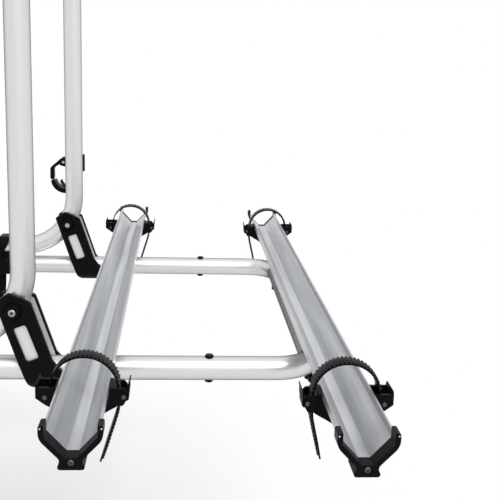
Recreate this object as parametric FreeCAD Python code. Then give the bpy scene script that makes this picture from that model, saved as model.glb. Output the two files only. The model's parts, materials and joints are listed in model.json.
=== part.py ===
import FreeCAD, Part
import math
import os

# Rear bike carrier for the back wall of a vehicle. Millimetres.
# X runs along the wheel rails, Z is up, and Y points at the vehicle, whose wall is the plane y = 0.
# The origin is the centre of the four lower wall bolts.

# Frame tubes and crossbars
tube_d = 35.0
tube_wall = 2.0
crossbar_d = 50.0
crossbar_wall = 2.5
crossbar_off_wall = 55.0
leg_spacing = 620.0
crossbar_overhang = 44.0
upright_off_crossbar = 207.0
frame_bend_r = 105.0
frame_height = 830.0
tube_end_inset = 8.0
weld_gap = 0.2

# Crossbar end caps, plugs and grommets
cap_length = 26.0
cap_d = 51.0
cap_end_d = 45.0
cap_nose_r = 9.0
cap_spigot = 20.0
cap_spigot_wall = 2.5
plug_head_d = 15.0
plug_head_h = 1.6
plug_button_h = 0.6
plug_shank_d = 6.0
plug_from_end = 15.0
plug_angles = (28.0, -45.0)
grommet_d = 40.0
grommet_proud = 1.6

# Wall brackets
bracket_spacing = 400.0
bracket_width = 60.0
bracket_height = 104.0
bracket_plate = 6.0
bracket_web = 44.0
bracket_corner_r = 8.0
wall_bolt_spacing = 80.0
wall_bolt_hole_r = 4.25
bracket_screw_r = 4.0
bracket_head_r = 6.5
bracket_head_h = 5.0
bracket_nut_h = 6.0
thread_past_nut = 2.0

# Folding pivot
pivot_above_run = 50.0
pivot_behind_upright = 11.0
pivot_r = 3.0
pivot_play = 0.05
bush_r = 5.0
bush_play = 0.5
boss_base_d = 26.0
boss_top_d = 18.0
boss_height = 9.0
boss_recess = 5.0
screw_head_d = 10.0
screw_head_h = 6.0
socket_r = 2.5
socket_depth = 3.0

# Platform
platform_below_pivot = 90.0
platform_corner_r = 60.0
inner_end_from_pivot = 155.0
inner_rail_off = 106.0
spare_rail_off = 263.0
outer_rail_off = 420.0
plug_hole_r = 5.0
tube_plug_head_r = 7.0
tube_plug_head_h = 3.0
tube_plug_slope = 1.5
tube_plug_shank = 6.0

# Hinge brackets: a plastic cover round two aluminium plates
arm_tilt = 20.0
arm_front = 25.0
arm_back = 21.0
arm_inner = 18.0
arm_outer = 24.5
arm_corner_r = 4.0
arm_front_up = 3.0
arm_front_flare = 2.0
arm_shoulder_up = 15.0
arm_shoulder = 16.0
arm_shoulder_r = 14.0
arm_crown_up = 26.0
arm_crown = 3.0
arm_heel_up = 21.0
plate_thickness = 3.0
plate_rim = 3.0
window_top = 23.5
window_bottom = 75.5
window_width = 18.5
shoe_reach = 66.0
shoe_below = 29.0
shoe_corner_r = 20.0
shoe_flare = 10.0
shoe_lip_r = 6.0
shoe_lip_up = 2.0

# Wheel rails
rail_length = 1280.0
rail_shift = (0.0, -20.0)
rail_half_width = 30.0
rail_wall = 2.0
rail_lip = 9.6
rail_depth = 33.0
rail_floor_half = 6.5
rib_half = 10.0
rib_height = 9.8
slot_half = 4.3
slot_head_half = 7.2
slot_lip = 2.0
seat_gap = 0.3

# Rail bolts and the knobs under the platform tube
bolt_r = 4.0
outer_bolt_inset = 52.0
bolt_head = 13.0
bolt_head_h = 4.5
bolt_hole_r = 4.3
knob_r = 8.5
knob_height = 17.0
knob_floor = 1.5
knob_wing = 17.0
knob_wing_width = 9.0
knob_wing_h = 9.0

# Cradles at the rail ends
cradle_wall = 4.2
cradle_reach = 20.0
cradle_overlap = 14.0
cradle_tip = 3.4
cradle_tip_r = 2.6
cradle_knee_r = 18.0
cradle_neck_r = 7.0
cradle_neck_half = 12.4
cradle_foot_half = 14.4
cradle_foot_h = 8.0
cradle_foot_r = 3.0
cradle_below_rib = 4.0
tongue_gap = 0.3
tongue_length = 26.0
end_screw_r = 2.0
end_screw_head_r = 3.6
end_screw_head_h = 2.2
end_screw_length = 40.0
end_recess_r = 1.5
tip_rivet_r = 1.0
tip_rivet_h = 1.0

# Ladder straps
strap_width = 24.0
strap_thick = 2.2
tooth_pitch = 5.0
tooth_height = 1.8
holder_from_end = 127.0
holder_length = 34.0
holder_wall = 4.0
holder_drop = 5.5
strap_eye_reach = 40.0
strap_buckle_reach = 39.0
strap_top_over_rail = 31.0
wheel_tail_straight = 7.0
wheel_tails = {"inner": (72.0, 22.0), "outer": (60.0, 14.0)}
wheel_tail_bend_r = 60.0
eye_r = 4.2
eye_out = 5.0
eye_bend_r = 6.0
anchor_below_top = 18.0
wing_reach = 57.0
wing_wall = 3.0
wing_spike_h = 5.0
wing_spike = 2.2
wing_low = 42.0
wing_waist = 33.0
wing_waist_reach = 45.0

# Ratchet buckles
cheek_gap = 0.8
cheek_thick = 2.4
cheek_up = 11.0
cheek_down = 11.0
cheek_out = 11.5
cheek_shoulder = 6.5
cheek_waist = 7.5
cheek_corner_r = 2.5
pin_r = 2.0
pin_play = 0.05
pin_out = 8.2
pin_head_r = 2.8
pin_head_h = 1.0
lever_hub_r = 4.2
lever_wall = 2.4
lever_rise = 12.0
lever_spike_h = 5.0
lever_drop = 6.0
lever_splay = 0.6
lever_spike_out = 1.0
lever_corner_r = 1.5
lever_hollow_r = 4.0
lever_play = 0.4
lever_overhang = 0.6

# Clamp at the platform's inner end
sleeve_length = 48.0
sleeve_end_wall = 10.0
sleeve_wall = 4.6
sleeve_play = 0.05
flank_width = 32.0
flank_proud = 0.6
saddle_wall = 2.4
saddle_half_angle = 48.0
saddle_ahead = 12.0
clamp_strap_r = 18.3
clamp_strap_side = 23.6
clamp_buckle_drop = 32.0
clamp_buckle_from_end = 7.0
clamp_strap_lean = 0.47
clamp_strap_slack = 0.4
clamp_strap_knee = -2.0
clamp_strap_knee_r = 20.0
anchor_head_h = 1.2
anchor_depth = 4.0
tail_points = ((0.0, -58.0), (4.0, -84.0), (20.0, -120.0), (54.0, -148.0))
tail_bend_r = 55.0

# Bike arms
short_arm_reach = inner_rail_off
long_arm_reach = outer_rail_off
short_arm_height = 640.0
jaw_over_pivot = 87.0
long_arm_height = pivot_above_run + jaw_over_pivot + long_arm_reach
arm_side = 41.0
arm_clamp_wall = 7.0
arm_clamp_height = 42.0
arm_ear_reach = 20.0
arm_ear_width = 22.0
arm_ear_gap = 3.0
arm_boss_r = 15.0
arm_tube_d = 25.0
arm_hub_r = 19.0
arm_hub_half = 8.0
arm_socket = 34.0
arm_pin_r = 5.0
arm_knob_hub_r = 12.4
arm_knob_front_r = 16.0
arm_knob_height = 18.0
arm_knob_lobes = 5
arm_knob_lobe_r = 6.8
arm_knob_lobe_at = 13.2
arm_knob_lobe_h = 13.5
arm_pin_in_knob = 10.8
cross_head_r = 6.5
cross_head_h = 6.0
arm_neck = 4.0
jaw_opening = 42.0
jaw_wall = 9.0
jaw_width = 32.0
jaw_mouth_drop = 4.2
jaw_socket_up = 15.8
jaw_socket_wall = 5.4
jaw_ear = 7.0
jaw_ear_r = 5.0
jaw_ear_root = 12.0
finger_play = 0.5
finger_pin_in = 4.0
finger_pin_up = 5.0
finger_hub_r = 6.0
finger_bar = 5.0
finger_thick = 8.0
finger_corner_r = 3.0
finger_bend_r = 8.0
finger_bend_drop = 13.0
finger_room = 2.0

# Places worked out from the sizes above
V = FreeCAD.Vector
X_AXIS = V(1, 0, 0)
Y_AXIS = V(0, 1, 0)
Z_AXIS = V(0, 0, 1)
ORIGIN = V(0, 0, 0)
crossbar_length = leg_spacing + 2 * crossbar_overhang
tube_r = tube_d / 2
bore_r = tube_r - tube_wall
crossbar_r = crossbar_d / 2
leg_x = leg_spacing / 2
crossbar_y = -crossbar_off_wall
upright_y = crossbar_y - upright_off_crossbar
pivot_y = upright_y + pivot_behind_upright
pivot_z = pivot_above_run
platform_z = pivot_z - platform_below_pivot
inner_end_y = pivot_y + inner_end_from_pivot
inner_rail_y = upright_y - inner_rail_off
spare_rail_y = upright_y - spare_rail_off
outer_rail_y = upright_y - outer_rail_off
rib_bottom = tube_r + seat_gap
rail_floor = rib_bottom + rib_height
rail_top = rail_floor + rail_depth
SIDES = (("left", -1), ("right", 1))
RAILS = (("inner", inner_rail_y, rail_shift[0], -1), ("outer", outer_rail_y, rail_shift[1], 1))


def save(name, *solids):
    """Write one or more solids as the node of that name."""
    shape = solids[0] if len(solids) == 1 else Part.makeCompound(list(solids))
    shape.exportStep(os.path.join("parts", name + ".step"))
    print(name, len(shape.Solids), round(shape.Volume / 1000, 1), shape.isValid())


def rod(radius, start, end):
    """A solid cylinder between two points."""
    axis = end - start
    return Part.makeCylinder(radius, axis.Length, start, axis)


def ring(outer, inner, start, end):
    return rod(outer, start, end).cut(rod(inner, start, end))


def block(x, y, z):
    """A box from its low and high limits along each axis."""
    return Part.makeBox(x[1] - x[0], y[1] - y[0], z[1] - z[0], V(x[0], y[0], z[0]))


def rounded(points, closed=True):
    """A wire through points in one plane; a point with a fourth value has a round corner of that radius."""
    spots = [V(p[0], p[1], p[2]) for p in points]
    radii = [p[3] if len(p) > 3 else 0.0 for p in points]
    count = len(spots)
    starts, ends, arcs = [], [], []
    for i, spot in enumerate(spots):
        if radii[i] == 0 or (not closed and i in (0, count - 1)):
            starts.append(spot)
            ends.append(spot)
            arcs.append(None)
            continue
        back = (spots[i - 1] - spot).normalize()
        ahead = (spots[(i + 1) % count] - spot).normalize()
        half = back.getAngle(ahead) / 2
        reach = radii[i] / math.tan(half)
        middle = (back + ahead).normalize()
        centre = spot + middle * (radii[i] / math.sin(half))
        starts.append(spot + back * reach)
        ends.append(spot + ahead * reach)
        arcs.append(Part.Arc(starts[i], centre - middle * radii[i], ends[i]).toShape())
    edges = []
    for i in range(count):
        if arcs[i]:
            edges.append(arcs[i])
        follower = (i + 1) % count
        if follower == 0 and not closed:
            break
        if (starts[follower] - ends[i]).Length > 1e-6:
            edges.append(Part.makeLine(ends[i], starts[follower]))
    return Part.Wire(edges)


def prism_x(points, x0, x1):
    """A solid of the outline (y, z[, corner radius]) between two planes across X."""
    wire = rounded([(x0, p[0], p[1]) + tuple(p[2:]) for p in points])
    return Part.Face(wire).extrude(V(x1 - x0, 0, 0))


def prism_y(points, y0, y1):
    """A solid of the outline (x, z[, corner radius]) between two planes across Y."""
    wire = rounded([(p[0], y0, p[1]) + tuple(p[2:]) for p in points])
    return Part.Face(wire).extrude(V(0, y1 - y0, 0))


def pipe(route, radius):
    """A round bar along a route of (x, y, z[, bend radius]) points."""
    wire = rounded(route, closed=False)
    first = V(*route[0][:3])
    heading = V(*route[1][:3]) - first
    circle = Part.Wire(Part.makeCircle(radius, first, heading))
    return wire.makePipeShell([circle], True, False)


def tube(route, outer, inner):
    return pipe(route, outer).cut(pipe(route, inner))


def mirrored(shape):
    """The same shape on the other side of the plane x = 0."""
    return shape.mirror(ORIGIN, X_AXIS)


def placed(shape, turn, at):
    """A shape made about the origin, turned about Z and moved."""
    moved = shape.copy()
    moved.rotate(ORIGIN, Z_AXIS, turn)
    moved.translate(at)
    return moved


def joined(first, *others):
    result = first
    for other in others:
        result = result.fuse(other)
    return result.removeSplitter()


def strap_face(route, toothed_from):
    """A ladder strap's side view along a route of (x, z[, bend radius]) points.

    The teeth stand on the left of the route from the given length onwards."""
    wire = rounded([(p[0], 0.0, p[1]) + tuple(p[2:]) for p in route], closed=False)
    steps = 4 * int(wire.Length / tooth_pitch)
    line = wire.discretize(Number=steps + 1)
    smooth, toothed = [], []
    for i, spot in enumerate(line):
        behind = line[max(i - 1, 0)]
        ahead = line[min(i + 1, steps)]
        along = (ahead - behind).normalize()
        left = V(-along.z, 0, along.x)
        in_tooth = i % 4 in (1, 2) and i * wire.Length / steps > toothed_from
        height = strap_thick / 2 + (tooth_height if in_tooth else 0.0)
        smooth.append(spot - left * (strap_thick / 2))
        toothed.append(spot + left * height)
    outline = smooth + toothed[::-1]
    return Part.Face(Part.makePolygon(outline + outline[:1]))


def strap_band(face):
    """The strap's full width from its side view."""
    band = face.extrude(V(0, strap_width, 0))
    band.translate(V(0, -strap_width / 2, 0))
    return band


# Frame: crossbars, caps, plugs, grommets and side tubes

def crossbar(z):
    """A straight tube with one hole in its front for each side tube."""
    half = crossbar_length / 2
    bar = ring(crossbar_r, crossbar_r - crossbar_wall, V(-half, crossbar_y, z), V(half, crossbar_y, z))
    for _, side in SIDES:
        front = V(side * leg_x, crossbar_y - crossbar_d, z)
        bar = bar.cut(rod(tube_r + weld_gap, front, V(side * leg_x, crossbar_y, z)))
        for bracket_x in (-bracket_spacing / 2, bracket_spacing / 2):
            back = V(bracket_x, crossbar_y, z)
            bar = bar.cut(rod(bracket_screw_r + weld_gap, back, back + Y_AXIS * crossbar_d))
        for angle in plug_angles:
            start, outwards = plug_seat(side, z, angle)
            bar = bar.cut(rod(plug_shank_d / 2, start - outwards * crossbar_wall * 2, start + outwards))
    return bar


def plug_seat(side, z, angle):
    """The point on the crossbar's surface where a plug sits, and the way it faces."""
    outwards = V(0, -math.cos(math.radians(angle)), math.sin(math.radians(angle)))
    centre = V(side * (crossbar_length / 2 - plug_from_end), crossbar_y, z)
    return centre + outwards * crossbar_r, outwards


def crossbar_plug(side, z, angle):
    """A round plug with a stepped head, cut to the crossbar's curve."""
    seat, outwards = plug_seat(side, z, angle)
    shank = rod(plug_shank_d / 2, seat - outwards * (crossbar_wall + 1), seat)
    head = rod(plug_head_d / 2, seat - outwards, seat + outwards * plug_head_h)
    button = rod(plug_head_d / 4, seat, seat + outwards * (plug_head_h + plug_button_h))
    centre = V(0, crossbar_y, z)
    bar = rod(crossbar_r, centre - X_AXIS * leg_spacing, centre + X_AXIS * leg_spacing)
    return joined(joined(head, button).cut(bar), shank)


def end_cap(side, z):
    """A cap that tapers to a rounded end, with a spigot inside the crossbar."""
    start = side * crossbar_length / 2
    end = start + side * cap_length
    outline = [
        (start, 0.0, 0.0),
        (start, cap_d / 2, 0.0),
        (end, cap_end_d / 2, 0.0, cap_nose_r),
        (end, 0.0, 0.0),
    ]
    face = Part.Face(rounded(outline))
    body = face.revolve(ORIGIN, X_AXIS, 360)
    inner_r = crossbar_r - crossbar_wall - weld_gap
    spigot = rod(inner_r, V(start, 0, 0), V(start - side * cap_spigot, 0, 0))
    hollow = rod(inner_r - cap_spigot_wall, V(start, 0, 0), V(start - side * (cap_spigot + 1), 0, 0))
    cap = joined(body, spigot).cut(hollow)
    cap.translate(V(0, crossbar_y, z))
    for angle in plug_angles:
        seat, outwards = plug_seat(side, z, angle)
        cap = cap.cut(rod(plug_shank_d / 2, seat - outwards * crossbar_r / 2, seat))
    return cap


def grommet(side, z):
    """A ring that covers the hole where a side tube enters the crossbar."""
    front = V(side * leg_x, crossbar_y - crossbar_r - grommet_proud, z)
    back = V(side * leg_x, crossbar_y - crossbar_r / 2, z)
    centre = V(0, crossbar_y, z)
    bar = rod(crossbar_r, centre - X_AXIS * leg_spacing, centre + X_AXIS * leg_spacing)
    return ring(grommet_d / 2, tube_r, front, back).cut(bar)


def frame_tube():
    """The right side tube: from the lower crossbar out, up and back to the upper one."""
    end_y = crossbar_y - tube_end_inset
    route = [
        (leg_x, end_y, 0.0),
        (leg_x, upright_y, 0.0, frame_bend_r),
        (leg_x, upright_y, frame_height, frame_bend_r),
        (leg_x, end_y, frame_height),
    ]
    side_tube = tube(route, tube_r, bore_r)
    across = V(leg_x, pivot_y, pivot_z)
    return side_tube.cut(rod(bush_r, across - X_AXIS * tube_d, across + X_AXIS * tube_d))


def wall_bracket(x, z):
    """A wall plate with a saddle that holds the back of the crossbar."""
    half = bracket_width / 2
    tall = bracket_height / 2
    corners = ((-half, -tall), (half, -tall), (half, tall), (-half, tall))
    plate = prism_y([corner + (bracket_corner_r,) for corner in corners], -bracket_plate, 0.0)
    web = block((-half, half), (crossbar_y, -bracket_plate), (-bracket_web / 2, bracket_web / 2))
    body = joined(plate, web)
    body = body.cut(rod(crossbar_r, V(-half * 2, crossbar_y, 0), V(half * 2, crossbar_y, 0)))
    for end in (-1, 1):
        hole = V(0, 0, end * wall_bolt_spacing / 2)
        body = body.cut(rod(wall_bolt_hole_r, hole - Y_AXIS * bracket_plate * 2, hole + Y_AXIS))
    screw = V(0, crossbar_y, 0)
    body = body.cut(rod(bracket_screw_r + weld_gap, screw, V(0, 0, 0)))
    body = body.cut(rod(bracket_head_r + 1, V(0, -bracket_head_h - 1, 0), V(0, 1, 0)))
    body.translate(V(x, 0, z))
    return body


def bracket_screw(x, z):
    """The screw from the wall side through the bracket into the crossbar, with its nut inside."""
    wall = -bracket_head_h - 1
    head = rod(bracket_head_r, V(x, wall, z), V(x, -1, z))
    nut_face = crossbar_y + math.sqrt((crossbar_r - crossbar_wall) ** 2 - bracket_head_r ** 2)
    nut_end = nut_face - bracket_nut_h
    nut = rod(bracket_head_r, V(x, nut_end, z), V(x, nut_face, z))
    shank = rod(bracket_screw_r, V(x, nut_end - thread_past_nut, z), V(x, wall, z))
    return joined(head, shank, nut)


def make_frame():
    for name, z in (("lower", 0.0), ("upper", frame_height)):
        save("crossbar_" + name, crossbar(z))
    levels = (0.0, frame_height)
    save("crossbar_caps", *[end_cap(side, z) for z in levels for _, side in SIDES])
    save("wall_brackets", *[wall_bracket(x, z) for z in levels
                            for x in (-bracket_spacing / 2, bracket_spacing / 2)])
    save("crossbar_plugs", *[crossbar_plug(side, z, angle)
                             for z in levels for _, side in SIDES for angle in plug_angles])
    save("tube_grommets", *[grommet(side, z) for z in levels for _, side in SIDES])
    save("bracket_screws", *[bracket_screw(x, z) for z in levels
                             for x in (-bracket_spacing / 2, bracket_spacing / 2)])
    right = frame_tube()
    save("frame_tube_right", right)
    save("frame_tube_left", mirrored(right))


# Hinge: bush, cover, plates, bosses and screw

def from_arm(down, out):
    """A point of the tilted hinge arm, as (y, z), from its distances down and out from the pivot."""
    tilt = math.radians(arm_tilt)
    outwards = down * math.sin(tilt) + out * math.cos(tilt)
    rise = out * math.sin(tilt) - down * math.cos(tilt)
    return (pivot_y - outwards, pivot_z + rise)


def along_arm(z, out):
    """The arm's point at a height, a given distance out from its middle line."""
    tilt = math.radians(arm_tilt)
    down = (out * math.sin(tilt) - (z - pivot_z)) / math.cos(tilt)
    return from_arm(down, out)


def arm_outline(inset, foot):
    """The arm's outline above a foot level, drawn in by an inset."""
    front = arm_front - inset
    back = arm_back - inset
    return [
        along_arm(foot, front),
        from_arm(inset - arm_front_up, front + arm_front_flare) + (arm_corner_r,),
        from_arm(inset - arm_shoulder_up, arm_shoulder - inset / 2) + (arm_shoulder_r,),
        from_arm(inset - arm_crown_up, arm_crown) + (arm_corner_r,),
        from_arm(inset - arm_heel_up, arm_front_flare - back) + (arm_corner_r,),
        along_arm(foot, -back),
    ]


def hinge_cover():
    """The plastic cover: two arms beside the frame tube and a shoe under the platform tube."""
    bottom = platform_z - shoe_below
    lip_y = pivot_y - shoe_reach
    upper = arm_outline(0.0, platform_z + tube_r)
    flare = (lip_y, platform_z + shoe_lip_up, shoe_lip_r)
    corner = along_arm(bottom, -arm_back) + (shoe_corner_r,)
    outline = upper + [corner, (lip_y - shoe_lip_up, bottom, shoe_lip_up), flare]
    body = prism_x(outline, -arm_outer, arm_outer)
    lip = lip_y - shoe_flare
    below = block((-arm_outer, arm_outer), (lip, inner_end_y), (bottom, platform_z))
    belly = rod(arm_outer, V(0, lip, bottom + arm_outer), V(0, inner_end_y, bottom + arm_outer))
    flanks = block((-arm_outer, arm_outer), (lip, inner_end_y), (bottom + arm_outer, platform_z))
    body = body.cut(below.cut(belly).cut(flanks))
    body = body.cut(rod(tube_r + pivot_play, V(0, lip, platform_z), V(0, inner_end_y, platform_z)))
    gap = block((-arm_inner, arm_inner), (lip, inner_end_y), (platform_z, pivot_z + arm_outer * 2))
    body = body.cut(gap)
    window = [
        from_arm(window_top, -window_width / 2) + (4.0,),
        from_arm(window_top, window_width / 2) + (4.0,),
        from_arm(window_bottom, window_width / 2) + (4.0,),
        from_arm(window_bottom, -window_width / 2) + (4.0,),
    ]
    body = body.cut(prism_x(window, -arm_outer * 2, arm_outer * 2))
    for side in (-1, 1):
        body = body.cut(hinge_plate(side))
    across = V(0, pivot_y, pivot_z)
    return body.cut(rod(pivot_r + pivot_play, across - X_AXIS * arm_outer * 2, across + X_AXIS * arm_outer * 2))


def hinge_plate(side):
    """One aluminium plate, let into the inner face of an arm and cut round the platform tube."""
    outline = arm_outline(plate_rim, platform_z)
    near = side * arm_inner
    far = side * (arm_inner + plate_thickness)
    plate = prism_x(outline, near, far)
    across = V(0, pivot_y, pivot_z)
    return plate.cut(rod(pivot_r + pivot_play, across - X_AXIS * arm_outer * 2, across + X_AXIS * arm_outer * 2))


def pivot_boss(side):
    """A cone with a recess for the screw's head or nut."""
    base = V(side * arm_outer, pivot_y, pivot_z)
    away = X_AXIS * side
    cone = Part.makeCone(boss_base_d / 2, boss_top_d / 2, boss_height, base, away)
    pocket = rod(screw_head_d / 2 + weld_gap, base + away * (boss_height - boss_recess), base + away * boss_height)
    return cone.cut(pocket).cut(rod(pivot_r + pivot_play, base, base + away * boss_height))


def pivot_screw(side):
    """The socket-head screw through bracket and bush, with its nut on the inner side."""
    seat = arm_outer + boss_height - boss_recess
    head_start = V(side * seat, pivot_y, pivot_z)
    away = X_AXIS * side
    head = rod(screw_head_d / 2, head_start, head_start + away * screw_head_h)
    head = head.cut(rod(socket_r, head_start + away * (screw_head_h - socket_depth),
                        head_start + away * (screw_head_h + 1)))
    nut_start = V(-side * seat, pivot_y, pivot_z)
    nut = rod(screw_head_d / 2, nut_start, nut_start - away * (screw_head_h - 1))
    shank = rod(pivot_r, nut_start - away * (screw_head_h - 1), head_start)
    return joined(head, nut, shank)


def make_hinges():
    across = V(0, pivot_y, pivot_z)
    reach = X_AXIS * (arm_inner - bush_play)
    bush = ring(bush_r, pivot_r + pivot_play, across - reach, across + reach)
    legs = [V(side * leg_x, 0, 0) for _, side in SIDES]
    save("pivot_bushes", *[placed(bush, 0, leg) for leg in legs])
    cover = hinge_cover()
    for name, side in SIDES:
        leg = V(side * leg_x, 0, 0)
        save("hinge_cover_" + name, placed(cover, 0, leg))
    save("hinge_plates", *[placed(hinge_plate(face), 0, leg) for leg in legs for face in (-1, 1)])
    save("pivot_bosses", *[placed(pivot_boss(face), 0, leg) for leg in legs for face in (-1, 1)])
    save("pivot_screws", *[placed(pivot_screw(side), 0, V(side * leg_x, 0, 0)) for _, side in SIDES])


# Platform: the U-shaped tube, its plugs and the rail bolts

def crossings():
    """Every place where a rail crosses a platform leg, as (rail name, y, side name, side)."""
    return [(rail, y, name, side) for rail, y, _, _ in RAILS for name, side in SIDES]


def platform_tube():
    route = [
        (-leg_x, inner_end_y, platform_z),
        (-leg_x, outer_rail_y, platform_z, platform_corner_r),
        (leg_x, outer_rail_y, platform_z, platform_corner_r),
        (leg_x, inner_end_y, platform_z),
    ]
    body = tube(route, tube_r, bore_r)
    for _, y, _, side in crossings():
        body = body.cut(rod(bolt_hole_r, bolt_spot(y, side, -tube_d), bolt_spot(y, side, tube_d)))
    for _, side in SIDES:
        body = body.cut(rod(plug_hole_r, V(side * leg_x, spare_rail_y, platform_z - tube_d),
                            V(side * leg_x, spare_rail_y, platform_z + tube_d)))
    return body


def bolt_spot(y, side, rise):
    """A point on a rail bolt's axis; at the outer rail the bolts stand where the corner ends."""
    inset = outer_bolt_inset if y == outer_rail_y else 0.0
    return V(side * (leg_x - inset), y, platform_z + rise)


def tube_plug(side, face):
    seat = V(side * leg_x, spare_rail_y, platform_z + face * tube_r)
    away = Z_AXIS * face
    head = Part.makeCone(tube_plug_head_r, tube_plug_head_r - tube_plug_slope, tube_plug_head_h + 1,
                         seat - away, away)
    axis = V(side * leg_x, 0, platform_z)
    head = head.cut(rod(tube_r, axis + Y_AXIS * outer_rail_y, axis))
    shank = rod(plug_hole_r, seat - away * tube_plug_shank, seat)
    return joined(head, shank)


def rail_bolt(y, side):
    """A square head in the rail's slot and a shank down through the platform tube."""
    low = bolt_spot(y, side, -tube_r - seat_gap - knob_height + knob_floor + seat_gap)
    head_low = bolt_spot(y, side, rib_bottom + slot_lip + seat_gap)
    half = bolt_head / 2
    head = block((head_low.x - half, head_low.x + half), (y - half, y + half),
                 (head_low.z, head_low.z + bolt_head_h))
    return joined(head, rod(bolt_r, low, head_low))


def rail_knob(y, side):
    """A knob with two wings that tightens a rail bolt from below."""
    top = bolt_spot(y, side, -tube_r - seat_gap)
    hub = rod(knob_r, top - Z_AXIS * knob_height, top)
    wing = block((top.x - knob_wing, top.x + knob_wing),
                 (top.y - knob_wing_width / 2, top.y + knob_wing_width / 2),
                 (top.z - knob_height, top.z - knob_height + knob_wing_h))
    body = joined(hub, wing)
    return body.cut(rod(bolt_r + pivot_play, top - Z_AXIS * (knob_height - knob_floor), top + Z_AXIS))


def make_platform():
    save("platform_tube", platform_tube())
    save("tube_plugs", *[tube_plug(side, face) for _, side in SIDES for face in (-1, 1)])
    save("rail_bolts", *[rail_bolt(y, side) for _, y, _, side in crossings()])
    for rail, y, name, side in crossings():
        save("rail_knob_" + rail + "_" + name, rail_knob(y, side))


# Rails, their end cradles, strap holders, straps and buckles

def rail_half_profile(offset):
    """The right half of the rail's outside as (across, up) points, grown by an offset."""
    slope = math.atan2(rail_depth - rail_lip, rail_half_width - rail_wall - rail_floor_half)
    grow = offset + rail_wall
    side = rail_half_width + offset
    knee = rail_floor + (side - rail_floor_half) * math.tan(slope) - grow / math.cos(slope)
    rib = rib_half + offset
    rib_top = rail_floor + (rib - rail_floor_half) * math.tan(slope) - grow / math.cos(slope)
    return [(side, rail_top), (side, knee), (rib, rib_top), (rib, rib_bottom - offset)]


def both_halves(half):
    """An outline from its right half."""
    return half + [(-p[0],) + tuple(p[1:]) for p in half[::-1]]


def rail_at(y, outline):
    """An outline about the rail's middle plane, as (y, z) points."""
    return [(y + p[0], platform_z + p[1]) + tuple(p[2:]) for p in outline]


def rail(y, shift):
    """A trough with upright lips and a slotted rib underneath."""
    x0 = shift - rail_length / 2
    x1 = shift + rail_length / 2
    body = prism_x(rail_at(y, both_halves(rail_half_profile(0.0))), x0, x1)
    mouth = rail_half_width - rail_wall
    knee = rail_top - rail_lip
    trough = both_halves([(mouth, rail_top + 1), (mouth, knee), (rail_floor_half, rail_floor)])
    body = body.cut(prism_x(rail_at(y, trough), x0, x1))
    slot_top = rail_floor - rail_wall
    slot_step = rib_bottom + slot_lip
    slot = both_halves([(slot_head_half, slot_top), (slot_head_half, slot_step),
                        (slot_half, slot_step), (slot_half, rib_bottom - 1)])
    return body.cut(prism_x(rail_at(y, slot), x0, x1))


def cradle_half():
    """Half of the cradle's outside, as (across, up[, corner radius]) points."""
    outer = rail_half_profile(cradle_wall)
    base = rib_bottom - cradle_below_rib
    return [
        (outer[0][0], rail_top + cradle_tip, cradle_tip_r),
        (outer[1][0], outer[1][1], cradle_knee_r),
        (cradle_neck_half, rail_floor - rail_wall, cradle_neck_r),
        (cradle_neck_half, base + cradle_foot_h),
        (cradle_foot_half, base + cradle_foot_h / 2, cradle_foot_r),
        (cradle_foot_half, base, cradle_foot_r),
    ]


def trough(grow):
    """Half of the rail's inside, open at the top."""
    mouth = rail_half_width - rail_wall + grow
    knee = rail_top - rail_lip
    return [(mouth, rail_top + rail_lip), (mouth, knee), (rail_floor_half + grow / 2, rail_floor)]


def cradle(y, shift, side):
    """A plastic cradle that lengthens the trough at a rail's end, with a tongue in the rail's slot."""
    end = shift + side * rail_length / 2
    front = end + side * cradle_reach
    back = end - side * cradle_overlap
    body = prism_x(rail_at(y, both_halves(cradle_half())), end, front)
    body = body.cut(prism_x(rail_at(y, both_halves(trough(0.0))), end, front))
    skirt_top = rail_top - rail_lip - cradle_wall
    skirt = prism_x(rail_at(y, both_halves(cradle_half())), back, end)
    high = block(sorted((back, end)), (y - leg_spacing, y + leg_spacing),
                 (platform_z + skirt_top, platform_z + rail_top + rail_depth))
    skirt = skirt.cut(high).cut(prism_x(rail_at(y, both_halves(rail_half_profile(0.0))), back, end))
    level = platform_z + slot_level()
    tall = (rail_floor - rail_wall - rib_bottom - slot_lip) / 2 - tongue_gap
    wide = slot_head_half - tongue_gap
    tongue = block(sorted((end, end - side * tongue_length)), (y - wide, y + wide), (level - tall, level + tall))
    body = joined(body, skirt, tongue)
    screw = V(front, y, level)
    return body.cut(rod(end_screw_r, screw - X_AXIS * side * end_screw_length, screw))


def slot_level():
    """The height of the middle of the rail's slot."""
    return (rail_floor - rail_wall + rib_bottom + slot_lip) / 2


def end_screw(y, shift, side):
    end = V(shift + side * (rail_length / 2 + cradle_reach), y, platform_z + slot_level())
    away = X_AXIS * side
    head = Part.makeCone(end_screw_head_r, end_screw_head_r - end_screw_head_h / 2, end_screw_head_h, end, away)
    head = head.cut(rod(end_recess_r, end + away, end + away * (end_screw_head_h + 1)))
    shank = rod(end_screw_r, end - away * (end_screw_length - 1), end)
    return joined(head, shank)


def tip_rivet(y, shift, side, face):
    """A small rivet in the front of the cradle's upright wall."""
    across = rail_half_width + cradle_wall / 2
    seat = V(shift + side * (rail_length / 2 + cradle_reach), y + face * across, platform_z + rail_top)
    away = X_AXIS * side
    return Part.makeCone(tip_rivet_r, tip_rivet_r / 2, tip_rivet_h, seat, away)


def strap_x(shift, side):
    return shift + side * (rail_length / 2 - holder_from_end)


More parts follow.
